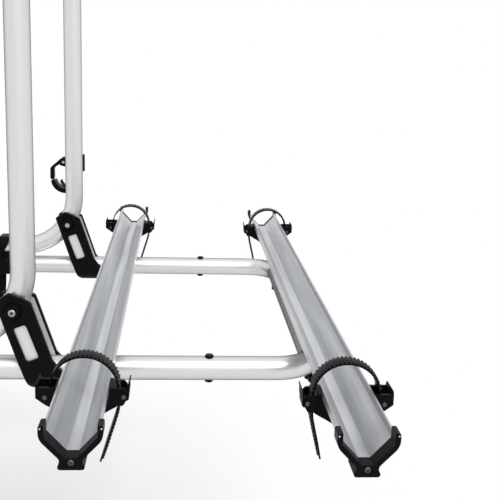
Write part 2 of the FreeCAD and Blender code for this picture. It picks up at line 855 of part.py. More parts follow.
def holder(y, shift, side, buckle_face):
    """A bracket round the rail's underside that carries the strap's pin on one side and its buckle on the other."""
    x = strap_x(shift, side)
    low_x, high_x = x - holder_length / 2, x + holder_length / 2
    top = rail_top - holder_drop
    grown = rail_half_profile(holder_wall)
    half = [(grown[0][0], top), grown[1] + (3.0,), grown[2] + (2.0,), grown[3] + (2.0,)]
    body = prism_x(rail_at(y, both_halves(half)), low_x, high_x)
    rib_side = rib_half + holder_wall
    eye_wing = [
        (rail_half_width + 1.0, top),
        (wing_reach - wing_wall, top),
        (wing_reach - wing_wall + wing_spike / 2, top + wing_spike_h),
        (wing_reach - wing_wall + wing_spike, top + wing_spike_h),
        (wing_reach, top),
        (wing_reach, wing_low),
        (wing_waist_reach, wing_waist),
        (rib_side, rib_bottom - 1.0),
        (rib_side, rib_bottom + rib_height / 2),
    ]
    buckle_base = strap_buckle_reach - seat_gap
    level = rail_top - anchor_below_top
    buckle_wing = [
        grown[1],
        (grown[1][0], level - cheek_down - seat_gap),
        (buckle_base, level - cheek_down - seat_gap),
        (rib_side, rib_bottom - 1.0),
        grown[2],
    ]
    face = -buckle_face
    wing = prism_x(rail_at(y, [(face * across, up) for across, up in eye_wing]), low_x, high_x)
    web = prism_x(rail_at(y, [(-face * across, up) for across, up in buckle_wing]), low_x, high_x)
    pocket_half = strap_width / 2 + cheek_gap
    pocket_reach = (rail_half_width + holder_wall, wing_reach - wing_wall)
    pocket = block((x - pocket_half, x + pocket_half), sorted(y + face * reach for reach in pocket_reach),
                   (platform_z + level - eye_r - 2.0, platform_z + rail_top + rail_depth))
    body = joined(body, wing.cut(pocket), web)
    body = body.cut(prism_x(rail_at(y, both_halves(rail_half_profile(0.0))), low_x, high_x))
    pin = anchor_pin_line(y, x, face)
    return body.cut(rod(pin_r, pin[0], pin[1]))


def anchor_pin_line(y, x, face):
    """The pin's two ends, through both cheeks of a holder's wing."""
    across = y + face * (strap_eye_reach + strap_thick / 2 + eye_out)
    up = platform_z + rail_top - anchor_below_top
    reach = holder_length / 2
    return V(x - reach, across, up), V(x + reach, across, up)


def headed_pin(start, end):
    away = (end - start).normalize()
    heads = [rod(pin_head_r, end, end + away * pin_head_h), rod(pin_head_r, start - away * pin_head_h, start)]
    return joined(rod(pin_r, start, end), *heads)


def wheel_strap(tail, lean):
    """The strap about its rail: pinned eye, arch and buckle side, with a tail that hangs and leans inwards.

    Buckle side is +X."""
    eye_side = strap_eye_reach + strap_thick / 2
    buckle_side = strap_buckle_reach + strap_thick / 2
    arch_r = (eye_side + buckle_side) / 2 - weld_gap
    anchor = rail_top - anchor_below_top
    top = rail_top + strap_top_over_rail
    buckle_low = anchor - cheek_down - wheel_tail_straight
    eye_line = -eye_side - eye_out
    route = [
        (eye_line, anchor),
        (-eye_side, anchor + eye_out, eye_bend_r),
        (-eye_side, top, arch_r),
        (buckle_side, top, arch_r),
        (buckle_side, buckle_low, wheel_tail_bend_r),
        (buckle_side - lean, buckle_low - tail),
    ]
    strap = strap_band(strap_face(route, anchor_below_top))
    eye = rod(eye_r, V(eye_line, -strap_width / 2, anchor), V(eye_line, strap_width / 2, anchor))
    hole = rod(pin_r + pin_play, V(eye_line, -strap_width, anchor), V(eye_line, strap_width, anchor))
    return joined(strap, eye).cut(hole)


def buckle_housing(back):
    """The fixed part of a ratchet buckle: a base behind the strap and two cheeks.

    Made with the strap's inner face on x = 0, its width along Y and the strap running along Z."""
    inner = strap_width / 2 + cheek_gap
    outer = inner + cheek_thick
    base = block((-back, -weld_gap), (-outer, outer), (-cheek_down, cheek_up))
    outline = [
        (-back, -cheek_down),
        (cheek_waist, -cheek_down, cheek_corner_r),
        (cheek_out, -cheek_down / 3, cheek_corner_r),
        (cheek_out, cheek_shoulder, cheek_corner_r),
        (cheek_waist, cheek_up, cheek_corner_r),
        (-back, cheek_up),
    ]
    cheeks = [prism_y(outline, low, low + cheek_thick) for low in (-outer, inner)]
    pin = rod(pin_r, V(pin_out, -outer * 2, 0), V(pin_out, outer * 2, 0))
    return joined(base, *cheeks).cut(pin)


def buckle_pin():
    half = strap_width / 2 + cheek_gap + cheek_thick
    return headed_pin(V(pin_out, -half, 0), V(pin_out, half, 0))


def buckle_lever():
    """The hand lever: a hub on the pin and a shell outside the cheeks that ends in a finger tab."""
    inner = strap_width / 2 + cheek_gap - lever_play
    wide = strap_width / 2 + cheek_gap + cheek_thick + lever_overhang
    near = cheek_out + lever_play
    far = near + lever_wall
    hub = rod(lever_hub_r, V(pin_out, -inner, 0), V(pin_out, inner, 0))
    shell_outline = [
        (pin_out, -lever_hub_r + weld_gap),
        (near, -lever_drop, lever_corner_r / 2),
        (far, -lever_drop + lever_wall, lever_corner_r),
        (far + lever_splay, lever_rise),
        (far + lever_splay + lever_spike_out, lever_rise + lever_spike_h),
        (far, lever_rise + lever_spike_h),
        (near, lever_rise - lever_spike_h, lever_hollow_r),
        (near, lever_hub_r, lever_corner_r),
        (pin_out, lever_hub_r - weld_gap),
    ]
    shell = prism_y(shell_outline, -inner, inner)
    flange = prism_y(shell_outline, -wide, wide)
    beyond = block((near, far * 2), (-wide, wide), (lever_hub_r / 2, lever_rise * 2))
    corner_r = math.hypot(cheek_out - pin_out, cheek_shoulder) + lever_play
    swept = rod(corner_r, V(pin_out, -wide, 0), V(pin_out, wide, 0))
    body = joined(hub, shell, flange.common(beyond).cut(swept))
    return body.cut(rod(pin_r + pin_play, V(pin_out, -wide * 2, 0), V(pin_out, wide * 2, 0)))


def make_rails():
    back = strap_buckle_reach - rail_half_width - holder_wall
    housing = buckle_housing(back)
    pin = buckle_pin()
    lever = buckle_lever()
    for name, y, shift, buckle_face in RAILS:
        turn = 90.0 * buckle_face
        strap = wheel_strap(*wheel_tails[name])
        spots = [(side_name, side, strap_x(shift, side)) for side_name, side in SIDES]
        save("rail_" + name, rail(y, shift))
        save("rail_cradles_" + name, *[cradle(y, shift, side) for _, side in SIDES])
        save("strap_holders_" + name, *[holder(y, shift, side, buckle_face) for _, side in SIDES])
        save("wheel_straps_" + name, *[placed(strap, turn, V(x, y, platform_z)) for _, _, x in spots])
        level = platform_z + rail_top - anchor_below_top
        seats = [V(x, y + buckle_face * strap_buckle_reach, level) for _, _, x in spots]
        save("wheel_buckles_" + name, *[placed(housing, turn, seat) for seat in seats])
        screws = [end_screw(y, shift, side) for _, side in SIDES]
        rivets = [tip_rivet(y, shift, side, face) for _, side in SIDES for face in (-1, 1)]
        anchors = [headed_pin(*anchor_pin_line(y, x, -buckle_face)) for _, _, x in spots]
        pins = [placed(pin, turn, seat) for seat in seats]
        save("rail_fasteners_" + name, *(screws + rivets + anchors + pins))
        for (side_name, _, _), seat in zip(spots, seats):
            save("wheel_lever_" + name + "_" + side_name, placed(lever, turn, seat))


# Clamp that ties the platform's inner end to the side tube above it

def clamp_sleeve():
    """A sleeve on the platform tube's end with a saddle that bears on the side tube. Buckle side is +X."""
    y0 = inner_end_y - sleeve_length
    y1 = inner_end_y + sleeve_end_wall
    outer = tube_r + sleeve_wall
    body = rod(outer, V(0, y0, platform_z), V(0, y1, platform_z))
    flank_y = inner_end_y - clamp_buckle_from_end
    flank_half = outer + flank_proud
    flank = block((-flank_half, flank_half), (flank_y - flank_width / 2, flank_y + flank_width / 2),
                  (-clamp_buckle_drop - cheek_down, -clamp_buckle_drop + cheek_up))
    half = math.radians(saddle_half_angle)
    saddle_r = tube_r + seat_gap
    saddle_out = saddle_r + saddle_wall
    saddle = rod(saddle_out, V(0, y0 - saddle_ahead, 0), V(0, y1, 0))
    low = -saddle_out * math.cos(half)
    wide = saddle_out * math.sin(half)
    saddle = saddle.common(block((-wide, wide), (y0 - saddle_ahead, y1), (-crossbar_d, low)))
    neck = block((-wide, wide), (y0, y1), (platform_z, low))
    body = joined(body, flank, neck, saddle)
    body = body.cut(rod(saddle_r, V(0, y0 - tube_d * 2, 0), V(0, y1 + tube_d, 0)))
    return body.cut(rod(tube_r + sleeve_play, V(0, y0 - tube_d, platform_z), V(0, inner_end_y, platform_z)))


def clamp_strap():
    """The strap over the side tube, down through the buckle, its tail curling inwards. Buckle side is +X.

    Above the buckle it leans outwards, so it crosses the side tube at a slant."""
    middle = clamp_strap_side + strap_thick / 2
    over = clamp_strap_r + strap_thick / 2
    crown = over + clamp_strap_slack
    crown_r = over - 2 * clamp_strap_slack
    route = [
        (-middle, -clamp_buckle_drop),
        (-middle, clamp_strap_knee, clamp_strap_knee_r),
        (-over, crown, crown_r),
        (over, crown, crown_r),
        (middle, clamp_strap_knee, clamp_strap_knee_r),
    ]
    for inwards, up in tail_points:
        route.append((middle - inwards, up, tail_bend_r))
    face = strap_face(route, over)
    bend = cheek_up - clamp_buckle_drop
    reach = middle * 2
    above = block((-reach, reach), (-reach, reach), (bend, reach))
    high = face.common(above).Faces[0].OuterWire
    slanted = [corner.Point - Y_AXIS * (corner.Point.z - bend) * clamp_strap_lean
               for corner in high.OrderedVertexes]
    leaning = Part.Face(Part.makePolygon(slanted + slanted[:1]))
    return joined(strap_band(leaning), *[strap_band(low) for low in face.cut(above).Faces])


def make_clamps():
    outer = tube_r + sleeve_wall + flank_proud
    back = clamp_strap_side - outer
    seat = V(clamp_strap_side, inner_end_y - clamp_buckle_from_end, -clamp_buckle_drop)
    housing = placed(buckle_housing(back), 0, seat)
    lever = placed(buckle_lever(), 0, seat)
    pin = placed(buckle_pin(), 0, seat)
    anchor_seat = V(anchor_depth - outer, seat.y, seat.z)
    anchor_end = V(-clamp_strap_side - strap_thick - anchor_head_h, seat.y, seat.z)
    anchor = rod(pin_head_r, anchor_seat, anchor_end)
    strap = clamp_strap()
    strap.translate(V(0, seat.y, 0))
    hole = rod(pin_head_r, anchor_seat, V(-clamp_strap_side * 2, seat.y, seat.z))
    strap = strap.cut(hole)
    pieces = {"clamp_sleeve": clamp_sleeve().cut(hole), "clamp_strap": strap,
              "clamp_buckle": housing, "clamp_lever": lever}
    fasteners = []
    for name, side in SIDES:
        leg = V(side * leg_x, 0, 0)
        for label, piece in pieces.items():
            facing = piece if side > 0 else mirrored(piece)
            save(label + "_" + name, placed(facing, 0, leg))
        for piece in (pin, anchor):
            facing = piece if side > 0 else mirrored(piece)
            fasteners.append(placed(facing, 0, leg))
    save("clamp_fasteners", *fasteners)


# Bike arms: clamp on the side tube, hub and knob, tube, hooked jaw and closing finger

def arm_knob(z):
    """A round knob with lobes and a domed front."""
    base = V(arm_side + arm_hub_half + finger_play, upright_y, z)
    knob = Part.makeCone(arm_knob_hub_r, arm_knob_front_r, arm_knob_height, base, X_AXIS)
    front = base + X_AXIS * arm_knob_height
    for i in range(arm_knob_lobes):
        angle = 2 * math.pi * i / arm_knob_lobes
        spoke = V(0, math.cos(angle), math.sin(angle)) * arm_knob_lobe_at
        knob = knob.fuse(rod(arm_knob_lobe_r, front + spoke - X_AXIS * arm_knob_lobe_h, front + spoke))
    hole = rod(arm_pin_r + pivot_play, base - X_AXIS, base + X_AXIS * arm_pin_in_knob)
    return knob.removeSplitter().cut(hole)


def arm_clamp(z):
    """A split clamp round the side tube with a boss for the arm on its outer side (+X)."""
    outer = tube_r + arm_clamp_wall
    low = V(0, upright_y, z - arm_clamp_height / 2)
    high = V(0, upright_y, z + arm_clamp_height / 2)
    body = rod(outer, low, high)
    half_ear = arm_ear_width / 2
    ear = block((-half_ear, half_ear), (upright_y, upright_y + outer + arm_ear_reach), (low.z + 4, high.z - 4))
    boss_end = arm_side - arm_hub_half - finger_play
    boss = rod(arm_boss_r, V(0, upright_y, z), V(boss_end, upright_y, z))
    body = joined(body, ear, boss)
    body = body.cut(rod(tube_r, low - Z_AXIS, high + Z_AXIS))
    split = block((-arm_ear_gap / 2, arm_ear_gap / 2), (upright_y, upright_y + outer + arm_ear_reach + 1),
                  (low.z - 1, high.z + 1))
    body = body.cut(split)
    bolt_y = upright_y + outer + arm_ear_reach / 2
    body = body.cut(rod(bolt_r, V(-half_ear - 1, bolt_y, z), V(half_ear + 1, bolt_y, z)))
    socket = rod(arm_pin_r, V(tube_r + 2.0, upright_y, z), V(arm_side, upright_y, z))
    return body.cut(socket)


def arm_fasteners(z):
    """The clamp's cross screw and the pin that the arm turns on."""
    bolt_y = upright_y + tube_r + arm_clamp_wall + arm_ear_reach / 2
    half = arm_ear_width / 2
    head_end = half + cross_head_h
    screw = joined(rod(bolt_r, V(-half, bolt_y, z), V(half, bolt_y, z)),
                   rod(cross_head_r, V(half, bolt_y, z), V(head_end, bolt_y, z)),
                   rod(cross_head_r, V(-head_end, bolt_y, z), V(-half, bolt_y, z)))
    pin_end = arm_side + arm_hub_half + arm_pin_in_knob
    pin = rod(arm_pin_r, V(tube_r + 2.0, upright_y, z), V(pin_end, upright_y, z))
    return [screw, pin]


def arm_bar(z, reach):
    """The arm's tube, hanging from its hub to the jaw, with the hub round the pin."""
    top = V(arm_side, upright_y, z)
    low = z - reach + jaw_opening / 2 + jaw_wall
    hub = rod(arm_hub_r, top - X_AXIS * arm_hub_half, top + X_AXIS * arm_hub_half)
    neck = rod(arm_tube_d / 2, V(arm_side, upright_y, low), V(arm_side, upright_y, z))
    shave = block((arm_side - arm_hub_half, arm_side + arm_hub_half),
                  (upright_y - arm_hub_r * 2, upright_y + arm_hub_r * 2), (z - arm_hub_r - arm_neck, z + arm_hub_r))
    flat = neck.common(shave)
    straight = neck.cut(block((0, arm_side * 2), (upright_y - tube_d, upright_y + tube_d),
                              (z - arm_hub_r - arm_neck, z + arm_hub_r)))
    body = joined(hub, flat, straight)
    return body.cut(rod(arm_pin_r + pivot_play, top - X_AXIS * arm_side, top + X_AXIS * arm_side))


def jaw_centre(z, reach):
    """The middle of the jaw's opening."""
    return V(arm_side, upright_y + jaw_opening / 2, z - reach)


def jaw(z, reach):
    """A hook open towards the wall, with ears for the finger's pin and a socket for the arm's tube."""
    centre = jaw_centre(z, reach)
    half = jaw_width / 2
    inner = jaw_opening / 2
    outer = inner + jaw_wall
    start = centre - X_AXIS * half
    body = ring(outer, inner, start, start + X_AXIS * jaw_width)
    mouth = block((start.x, start.x + jaw_width), (centre.y, centre.y + outer * 2),
                  (centre.z - jaw_mouth_drop, centre.z + outer * 2))
    body = body.cut(mouth)
    socket_low = V(arm_side, upright_y, centre.z + jaw_socket_up)
    socket = rod(arm_tube_d / 2 + jaw_socket_wall, socket_low, socket_low + Z_AXIS * arm_socket)
    socket = socket.cut(rod(inner, start - X_AXIS, start + X_AXIS * (jaw_width + 2)))
    ear = prism_x(jaw_ear_outline(centre), start.x, start.x + jaw_width)
    body = joined(body, socket, ear)
    bore_low = V(arm_side, upright_y, centre.z + outer)
    body = body.cut(rod(arm_tube_d / 2, bore_low, bore_low + Z_AXIS * reach))
    pin = finger_pin(centre)
    gap_half = half / 2 + finger_play
    room = finger_hub_r + finger_room
    gap = block((arm_side - gap_half, arm_side + gap_half), (pin.y - room, pin.y + room * 2),
                (pin.z - room, pin.z + room * 2))
    return body.cut(gap).cut(rod(pin_r, pin - X_AXIS * jaw_width, pin + X_AXIS * jaw_width))


def finger_pin(centre):
    """The finger's pin, above the jaw's mouth on the wall side of the socket."""
    return V(arm_side, centre.y + finger_pin_in, centre.z + jaw_opening / 2 + jaw_wall + finger_pin_up)


def jaw_ear_outline(centre):
    pin = finger_pin(centre)
    root_y = upright_y + jaw_ear_r
    return [
        (pin.y + jaw_ear, pin.z + jaw_ear, jaw_ear_r),
        (pin.y + jaw_ear, pin.z - jaw_ear, jaw_ear_r / 2),
        (root_y, pin.z - jaw_ear_root),
        (root_y, pin.z + jaw_ear_root),
    ]


def jaw_finger(z, reach):
    """The finger that closes the jaw's mouth, turning on its pin."""
    centre = jaw_centre(z, reach)
    pin = finger_pin(centre)
    half = jaw_width / 4
    hub = rod(finger_hub_r, pin - X_AXIS * half, pin + X_AXIS * half)
    near_y = centre.y + jaw_opening / 2 + finger_corner_r
    far_y = near_y + finger_thick
    tip_z = centre.z - jaw_mouth_drop + finger_room
    high, low = pin.z + finger_bar, pin.z - finger_bar
    bend_z = pin.z - finger_bend_drop
    outline = [
        (pin.y, high),
        (pin.y + finger_thick, high, finger_corner_r),
        (far_y, bend_z, finger_bend_r),
        (far_y, tip_z, finger_corner_r),
        (near_y, tip_z, finger_corner_r),
        (near_y, bend_z, finger_bend_r),
        (pin.y + finger_thick, low, finger_corner_r),
        (pin.y, low),
    ]
    body = joined(hub, prism_x(outline, arm_side - half, arm_side + half))
    return body.cut(rod(pin_r + pin_play, pin - X_AXIS * jaw_width, pin + X_AXIS * jaw_width))


def jaw_pin(z, reach):
    pin = finger_pin(jaw_centre(z, reach))
    half = jaw_width / 2
    return headed_pin(pin - X_AXIS * half, pin + X_AXIS * half)


def make_arms():
    arms = (("left", -1, short_arm_height, short_arm_reach), ("right", 1, long_arm_height, long_arm_reach))
    screws = []
    for name, side, z, reach in arms:
        leg = V(side * leg_x, 0, 0)

        def seated(piece):
            return placed(piece if side > 0 else mirrored(piece), 0, leg)

        save("arm_clamp_" + name, seated(arm_clamp(z)))
        screws += [seated(piece) for piece in arm_fasteners(z)]
        save("arm_knob_" + name, seated(arm_knob(z)))
        save("arm_bar_" + name, seated(arm_bar(z, reach)))
        save("arm_jaw_" + name, seated(jaw(z, reach)))
        save("jaw_finger_" + name, seated(jaw_finger(z, reach)))
        save("jaw_pin_" + name, seated(jaw_pin(z, reach)))
    save("arm_fasteners", *screws)


os.makedirs("parts", exist_ok=True)
make_frame()
make_hinges()
make_platform()
make_rails()
make_clamps()
make_arms()
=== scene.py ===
import json
import math

import bmesh
import bpy
from mathutils import Matrix, Vector


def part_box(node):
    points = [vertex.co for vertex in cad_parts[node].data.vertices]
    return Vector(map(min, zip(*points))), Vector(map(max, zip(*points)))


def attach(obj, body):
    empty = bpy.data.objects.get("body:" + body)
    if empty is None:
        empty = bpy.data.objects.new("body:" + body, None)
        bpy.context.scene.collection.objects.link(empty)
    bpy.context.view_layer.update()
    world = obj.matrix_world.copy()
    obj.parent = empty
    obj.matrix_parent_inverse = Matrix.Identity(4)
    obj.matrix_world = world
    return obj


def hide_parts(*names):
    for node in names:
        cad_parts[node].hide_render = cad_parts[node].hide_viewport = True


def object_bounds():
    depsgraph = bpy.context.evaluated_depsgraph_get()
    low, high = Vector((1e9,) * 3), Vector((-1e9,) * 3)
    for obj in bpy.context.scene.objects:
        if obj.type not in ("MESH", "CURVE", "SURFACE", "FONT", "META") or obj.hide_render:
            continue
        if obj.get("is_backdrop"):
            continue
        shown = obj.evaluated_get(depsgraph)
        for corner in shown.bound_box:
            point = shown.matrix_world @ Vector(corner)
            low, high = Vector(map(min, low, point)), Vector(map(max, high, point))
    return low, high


bl_info = {
    "name": "Rear bike carrier",
    "version": (1, 0, 0),
    "blender": (4, 2, 0),
    "location": "View3D > Sidebar > Bike Carrier",
    "description": "Finishes, fittings and studio for a two-bike carrier on a vehicle's back wall",
    "category": "Object",
}

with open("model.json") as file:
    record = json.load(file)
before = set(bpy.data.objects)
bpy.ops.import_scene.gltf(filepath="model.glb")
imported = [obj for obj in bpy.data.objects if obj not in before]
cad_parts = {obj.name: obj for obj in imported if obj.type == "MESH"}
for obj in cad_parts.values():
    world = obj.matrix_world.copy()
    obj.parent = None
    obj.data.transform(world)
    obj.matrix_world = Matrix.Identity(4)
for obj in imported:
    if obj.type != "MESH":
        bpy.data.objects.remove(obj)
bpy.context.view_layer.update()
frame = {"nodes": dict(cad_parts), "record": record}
# Each side with its way along X, and each rail with the way along Y to its buckles
SIDES = (("left", -1), ("right", 1))
RAILS = (("inner", -1), ("outer", 1))
WHITE = (1.0, 1.0, 1.0, 1.0)
BLACK = (0.0, 0.0, 0.0, 1.0)
# Edges that turn by more than this stay crisp in a new mesh, or are rounded in one from the part
CRISP_ANGLE = math.radians(35)
ROUNDED_ANGLE = math.radians(40)
# Steps round a pin or rivet, round a hexagon (a multiple of six) and round a cross recess
ROUND_STEPS = 48
HEXAGON_STEPS = 72
CROSS_STEPS = 96


# Properties

def linear(hex_colour):
    """The linear RGB of an sRGB colour written as #rrggbb, by the curve of the sRGB standard."""
    channels = [int(hex_colour[i:i + 2], 16) / 255 for i in (1, 3, 5)]
    return tuple(c / 12.92 if c <= 0.04045 else ((c + 0.055) / 1.055) ** 2.4 for c in channels)


def colour(name, description, hex_colour):
    """A colour setting, given as #rrggbb."""
    return bpy.props.FloatVectorProperty(
        name=name, description=description, subtype="COLOR", size=3, min=0.0, max=1.0,
        default=linear(hex_colour))


def length(name, description, metres):
    """A length setting, in metres."""
    return bpy.props.FloatProperty(name=name, description=description, unit="LENGTH", precision=5,
                                   default=metres)


def lengths(name, description, metres):
    """Several lengths in one setting, in metres."""
    return bpy.props.FloatVectorProperty(name=name, description=description, unit="LENGTH", precision=5,
                                         size=len(metres), default=metres)


def angle(name, description, radians):
    """An angle setting, in radians."""
    return bpy.props.FloatProperty(name=name, description=description, subtype="ANGLE", default=radians)


def share(name, description, value):
    """A setting between 0 and 1."""
    return bpy.props.FloatProperty(name=name, description=description, min=0.0, max=1.0, default=value)


class CarrierFinishes(bpy.types.PropertyGroup):
    """Colours and grain of the carrier's materials."""
    tube: colour("Tubes", "Satin anodised round tube", "#dddddd")
    rail: colour("Rails", "Anodised wheel rail", "#cbcdd0")
    # Painted reflection: this darker colour draws broad streaks along a rail, where reflections would
    # lie
    rail_streak: colour("Rail streaks", "Darker streaks along a drawn rail", "#b0b2b6")
    plate: colour("Hinge plates", "Aluminium plates let into the hinges", "#dadada")
    bracket: colour("Wall brackets", "Cast aluminium", "#9b9c9d")
    cap: colour("End caps", "White plastic", "#dddddb")
    plastic: colour("Black plastic", "Hinge covers, cradles and buckles", "#08080a")
    strap: colour("Straps", "Flexible black plastic", "#070708")
    rubber: colour("Rubber", "Grommets and jaw linings", "#080808")
    steel: colour("Steel", "Rivets, pivot screws and nuts", "#b4b5b7")
    # This dark steel also serves as the painted shade at the bottom of the pivot screws' sockets
    dark_steel: colour("Dark steel", "Pins of the straps and screws in the cradles", "#55565a")
    cloud: length("Cloud size", "Size of the faint clouds in a smooth finish", 0.014)
    # Real lines are about 0.1 mm apart; these are coarser so that they show
    draw_line: length("Draw line", "Spacing of the fine lines along a drawn rail", 0.0007)
    # Width and fade length of the broad streaks of painted reflection along a rail
    reflection_band: length("Streak", "Width of the broad streaks along a rail", 0.014)
    reflection_band_length: length("Streak length", "Length over which a broad streak fades", 0.35)
    draw_length: length("Draw line length", "Length over which a draw line fades", 0.09)
    # Real grain is 0.1 to 0.3 mm across; this is coarser so that it shows
    spark: length("Grain", "Size of the grain in moulded, blasted and cast surfaces", 0.0007)


class StrapSizes(bpy.types.PropertyGroup):
    """The ladder straps over the wheels and over the side tubes."""
    width: length("Width", "Width of a strap", 0.024)
    thick: length("Thickness", "Thickness between the teeth", 0.0022)
    edge: length("Edge", "Smooth margin beside the teeth", 0.001)
    tooth: length("Tooth height", "Height of a tooth over the strap", 0.0018)
    pitch: length("Tooth pitch", "Distance from tooth to tooth", 0.005)
    taper: length("Tip length", "Length of the pointed end", 0.026)
    tip: length("Tip width", "Width at the very end", 0.004)
    eye: length("Eye radius", "Radius of the loop round the anchor pin", 0.0042)


class WheelStrapPath(bpy.types.PropertyGroup):
    """Where a wheel strap runs, from the rail's middle and from the height of its buckle pin."""
    eye_side: length("Eye side", "Middle of the strap on its pinned side", 0.0411)
    eye_pin: length("Eye pin", "Middle of the pin through the strap's eye", 0.0461)
    eye_bend: length("Eye bend", "Bend radius where the strap turns out to its eye", 0.006)
    buckle_side: length("Buckle side", "Middle of the strap on its buckle side", 0.0401)
    rise: length("Rise", "Top of the arch over the buckle pin", 0.049)
    crest: length("Crest", "Half the flat run between the two bends of the arch", 0.00011)
    straight: length("Straight", "Straight run below the buckle pin", 0.018)
    # One value each for the inner and the outer rail
    smooth_runs: lengths("Smooth runs", "Length from the eye without teeth", (0.052, 0.016))
    tails: lengths("Tails", "Hanging run below the straight one", (0.072, 0.060))
    leans: lengths("Tail leans", "How far each tail's end leans back under its rail", (0.022, 0.014))
    tail_bend: length("Tail bend", "Bend radius where the tail turns in", 0.06)


class ClampStrapPath(bpy.types.PropertyGroup):
    """Where a clamp strap runs, from the side tube's middle."""
    side: length("Side", "Middle of the strap beside the tube", 0.0247)
    crown: length("Crown", "Middle of the strap over the tube", 0.0198)
    crown_bend: length("Crown bend", "Bend radius over the tube", 0.0186)
    shoulder: length("Shoulder", "Half the width of the bend over the tube", 0.0194)
    knee: length("Knee", "Depth at which the strap turns straight down", 0.002)
    knee_bend: length("Knee bend", "Bend radius at the knee", 0.02)
    drop: length("Drop", "Depth of the buckle's pin", 0.032)
    smooth_run: length("Smooth run", "Length from the fixed end without teeth", 0.075)
    lean_from: length("Lean from", "Depth above which the strap leans out", 0.021)
    lean: share("Lean", "How far the strap leans outwards for each unit of rise", 0.47)
    tail_bend: length("Tail bend", "Bend radius of the curling tail", 0.055)
    # One value for each point of the tail
    tail_in: lengths("Tail curl", "How far in each point of the tail lies", (0.0, 0.004, 0.020, 0.054))
    tail_down: lengths("Tail depth", "How far down each point of the tail lies",
                       (0.058, 0.084, 0.120, 0.148))


class FastenerSizes(bpy.types.PropertyGroup):
    """Screws, rivets and pins of the rails, and the pivot screws."""
    screw_head: length("Screw head", "Radius of the screw head in a cradle", 0.0036)
    screw_dome: length("Screw dome", "Height of that head", 0.0020)
    cross_reach: length("Cross reach", "Reach of the cross recess from its middle", 0.0021)
    cross_floor: length("Cross floor", "The same reach at the bottom of the recess", 0.0013)
    cross_half: length("Cross half width", "Half the width of the recess's arms", 0.0006)
    cross_depth: length("Cross depth", "Depth of the cross recess", 0.0012)
    socket_head: length("Socket head", "Radius of the pivot screw's head", 0.005)
    socket_height: length("Socket head height", "Height of the pivot screw's head", 0.006)
    socket_flat: length("Socket", "Half the distance across the hexagon's flats", 0.0026)
    socket_depth: length("Socket depth", "Depth of the hexagon", 0.003)
    chamfer: length("Chamfer", "Chamfer on the pivot screw's head", 0.0007)
    nut_height: length("Nut height", "Height of the nut on the pivot screw", 0.00525)
    shank: length("Shank", "Radius of the pivot screw's shank", 0.003)
    screw_up: length("Screw height", "Height of a cradle's screw over the rail's underside", 0.0049)
    rivet: length("Rivet", "Radius of a cradle's rivet", 0.001)
    rivet_height: length("Rivet height", "Height of a cradle's rivet", 0.0007)
    rivet_out: length("Rivet place", "How far outside the rail a rivet sits", 0.0021)
    anchor_half: length("Anchor pin", "Half the length of the pin through a strap's eye", 0.017)
    buckle_half: length("Buckle pin", "Half the length of a buckle's pin", 0.0152)
    pin: length("Pin", "Radius of a pin", 0.002)
    pin_head: length("Pin head", "Radius of a pin's head", 0.0028)
    pin_head_height: length("Pin head height", "Height of a pin's head", 0.001)


class TrimSizes(bpy.types.PropertyGroup):
    """Rounded edges and raised details of the moulded parts."""
    soft_edge: length("Soft edge", "Rounding of the edges of moulded parts", 0.0008)
    fine_edge: length("Fine edge", "Rounding of small moulded parts", 0.0004)
    metal_edge: length("Metal edge", "Broken edge of cut metal", 0.0003)
    rim: length("Rim width", "Width of the raised rim round a hinge window", 0.0026)
    rim_proud: length("Rim height", "How far that rim stands proud", 0.0009)
    ridge: length("Ridge width", "Width of a grip ridge", 0.0012)
    ridge_proud: length("Ridge height", "How far a grip ridge stands proud", 0.0007)
    ridge_half: length("Ridge half length", "Half the length of a grip ridge", 0.0125)
    ridge_from: length("First ridge", "Height of the lowest ridge over the lever's pin", 0.006)
    ridge_pitch: length("Ridge pitch", "Distance from ridge to ridge", 0.0024)
    ridges: bpy.props.IntProperty(
        name="Ridges", description="Number of grip ridges on a lever", default=3)
    lever_face: length("Lever face", "How far a lever's face lies out from its pin", 0.0062)
    lining: length("Lining", "Thickness of the rubber in a jaw", 0.002)
    jaw_inner: length("Jaw inside", "Radius inside a jaw", 0.021)
    jaw_outer: length("Jaw outside", "Radius outside a jaw", 0.030)
    jaw_side: length("Lining margin", "Distance from a jaw's side to its lining", 0.0045)
    lining_start: angle("Lining start", "Where the lining begins, from the jaw's open side",
                        math.radians(-13))
    lining_end: angle("Lining end", "Where the lining ends, past the bottom of the jaw",
                      math.radians(-262))


class WindowSizes(bpy.types.PropertyGroup):
    """The window in a hinge cover, measured along the tilted arm from its pivot."""
    tilt: angle("Tilt", "Lean of the hinge arms", math.radians(20))
    top: length("Top", "Upper end of the window below the pivot", 0.0235)
    bottom: length("Bottom", "Lower end of the window below the pivot", 0.0755)
    width: length("Width", "Width of the window", 0.0185)
    corner: length("Corner", "Corner radius of the window", 0.004)


class ReliefSizes(bpy.types.PropertyGroup):
    """The raised frame on a clamp sleeve, beside its buckle."""
    sleeve: length("Sleeve radius", "Outside radius of the sleeve", 0.0221)
    ahead: length("Ahead", "Distance from the buckle's pin to the frame's middle", 0.028)
    half_width: length("Half width", "Half the frame's opening along the tube", 0.006)
    half_height: length("Half height", "Half the frame's opening round the tube", 0.008)
    corner: length("Corner", "Corner radius of the frame's opening", 0.002)
    rib: length("Rib", "Width of the frame and its ribs", 0.0016)
    proud: length("Height", "How far the frame stands proud", 0.0008)


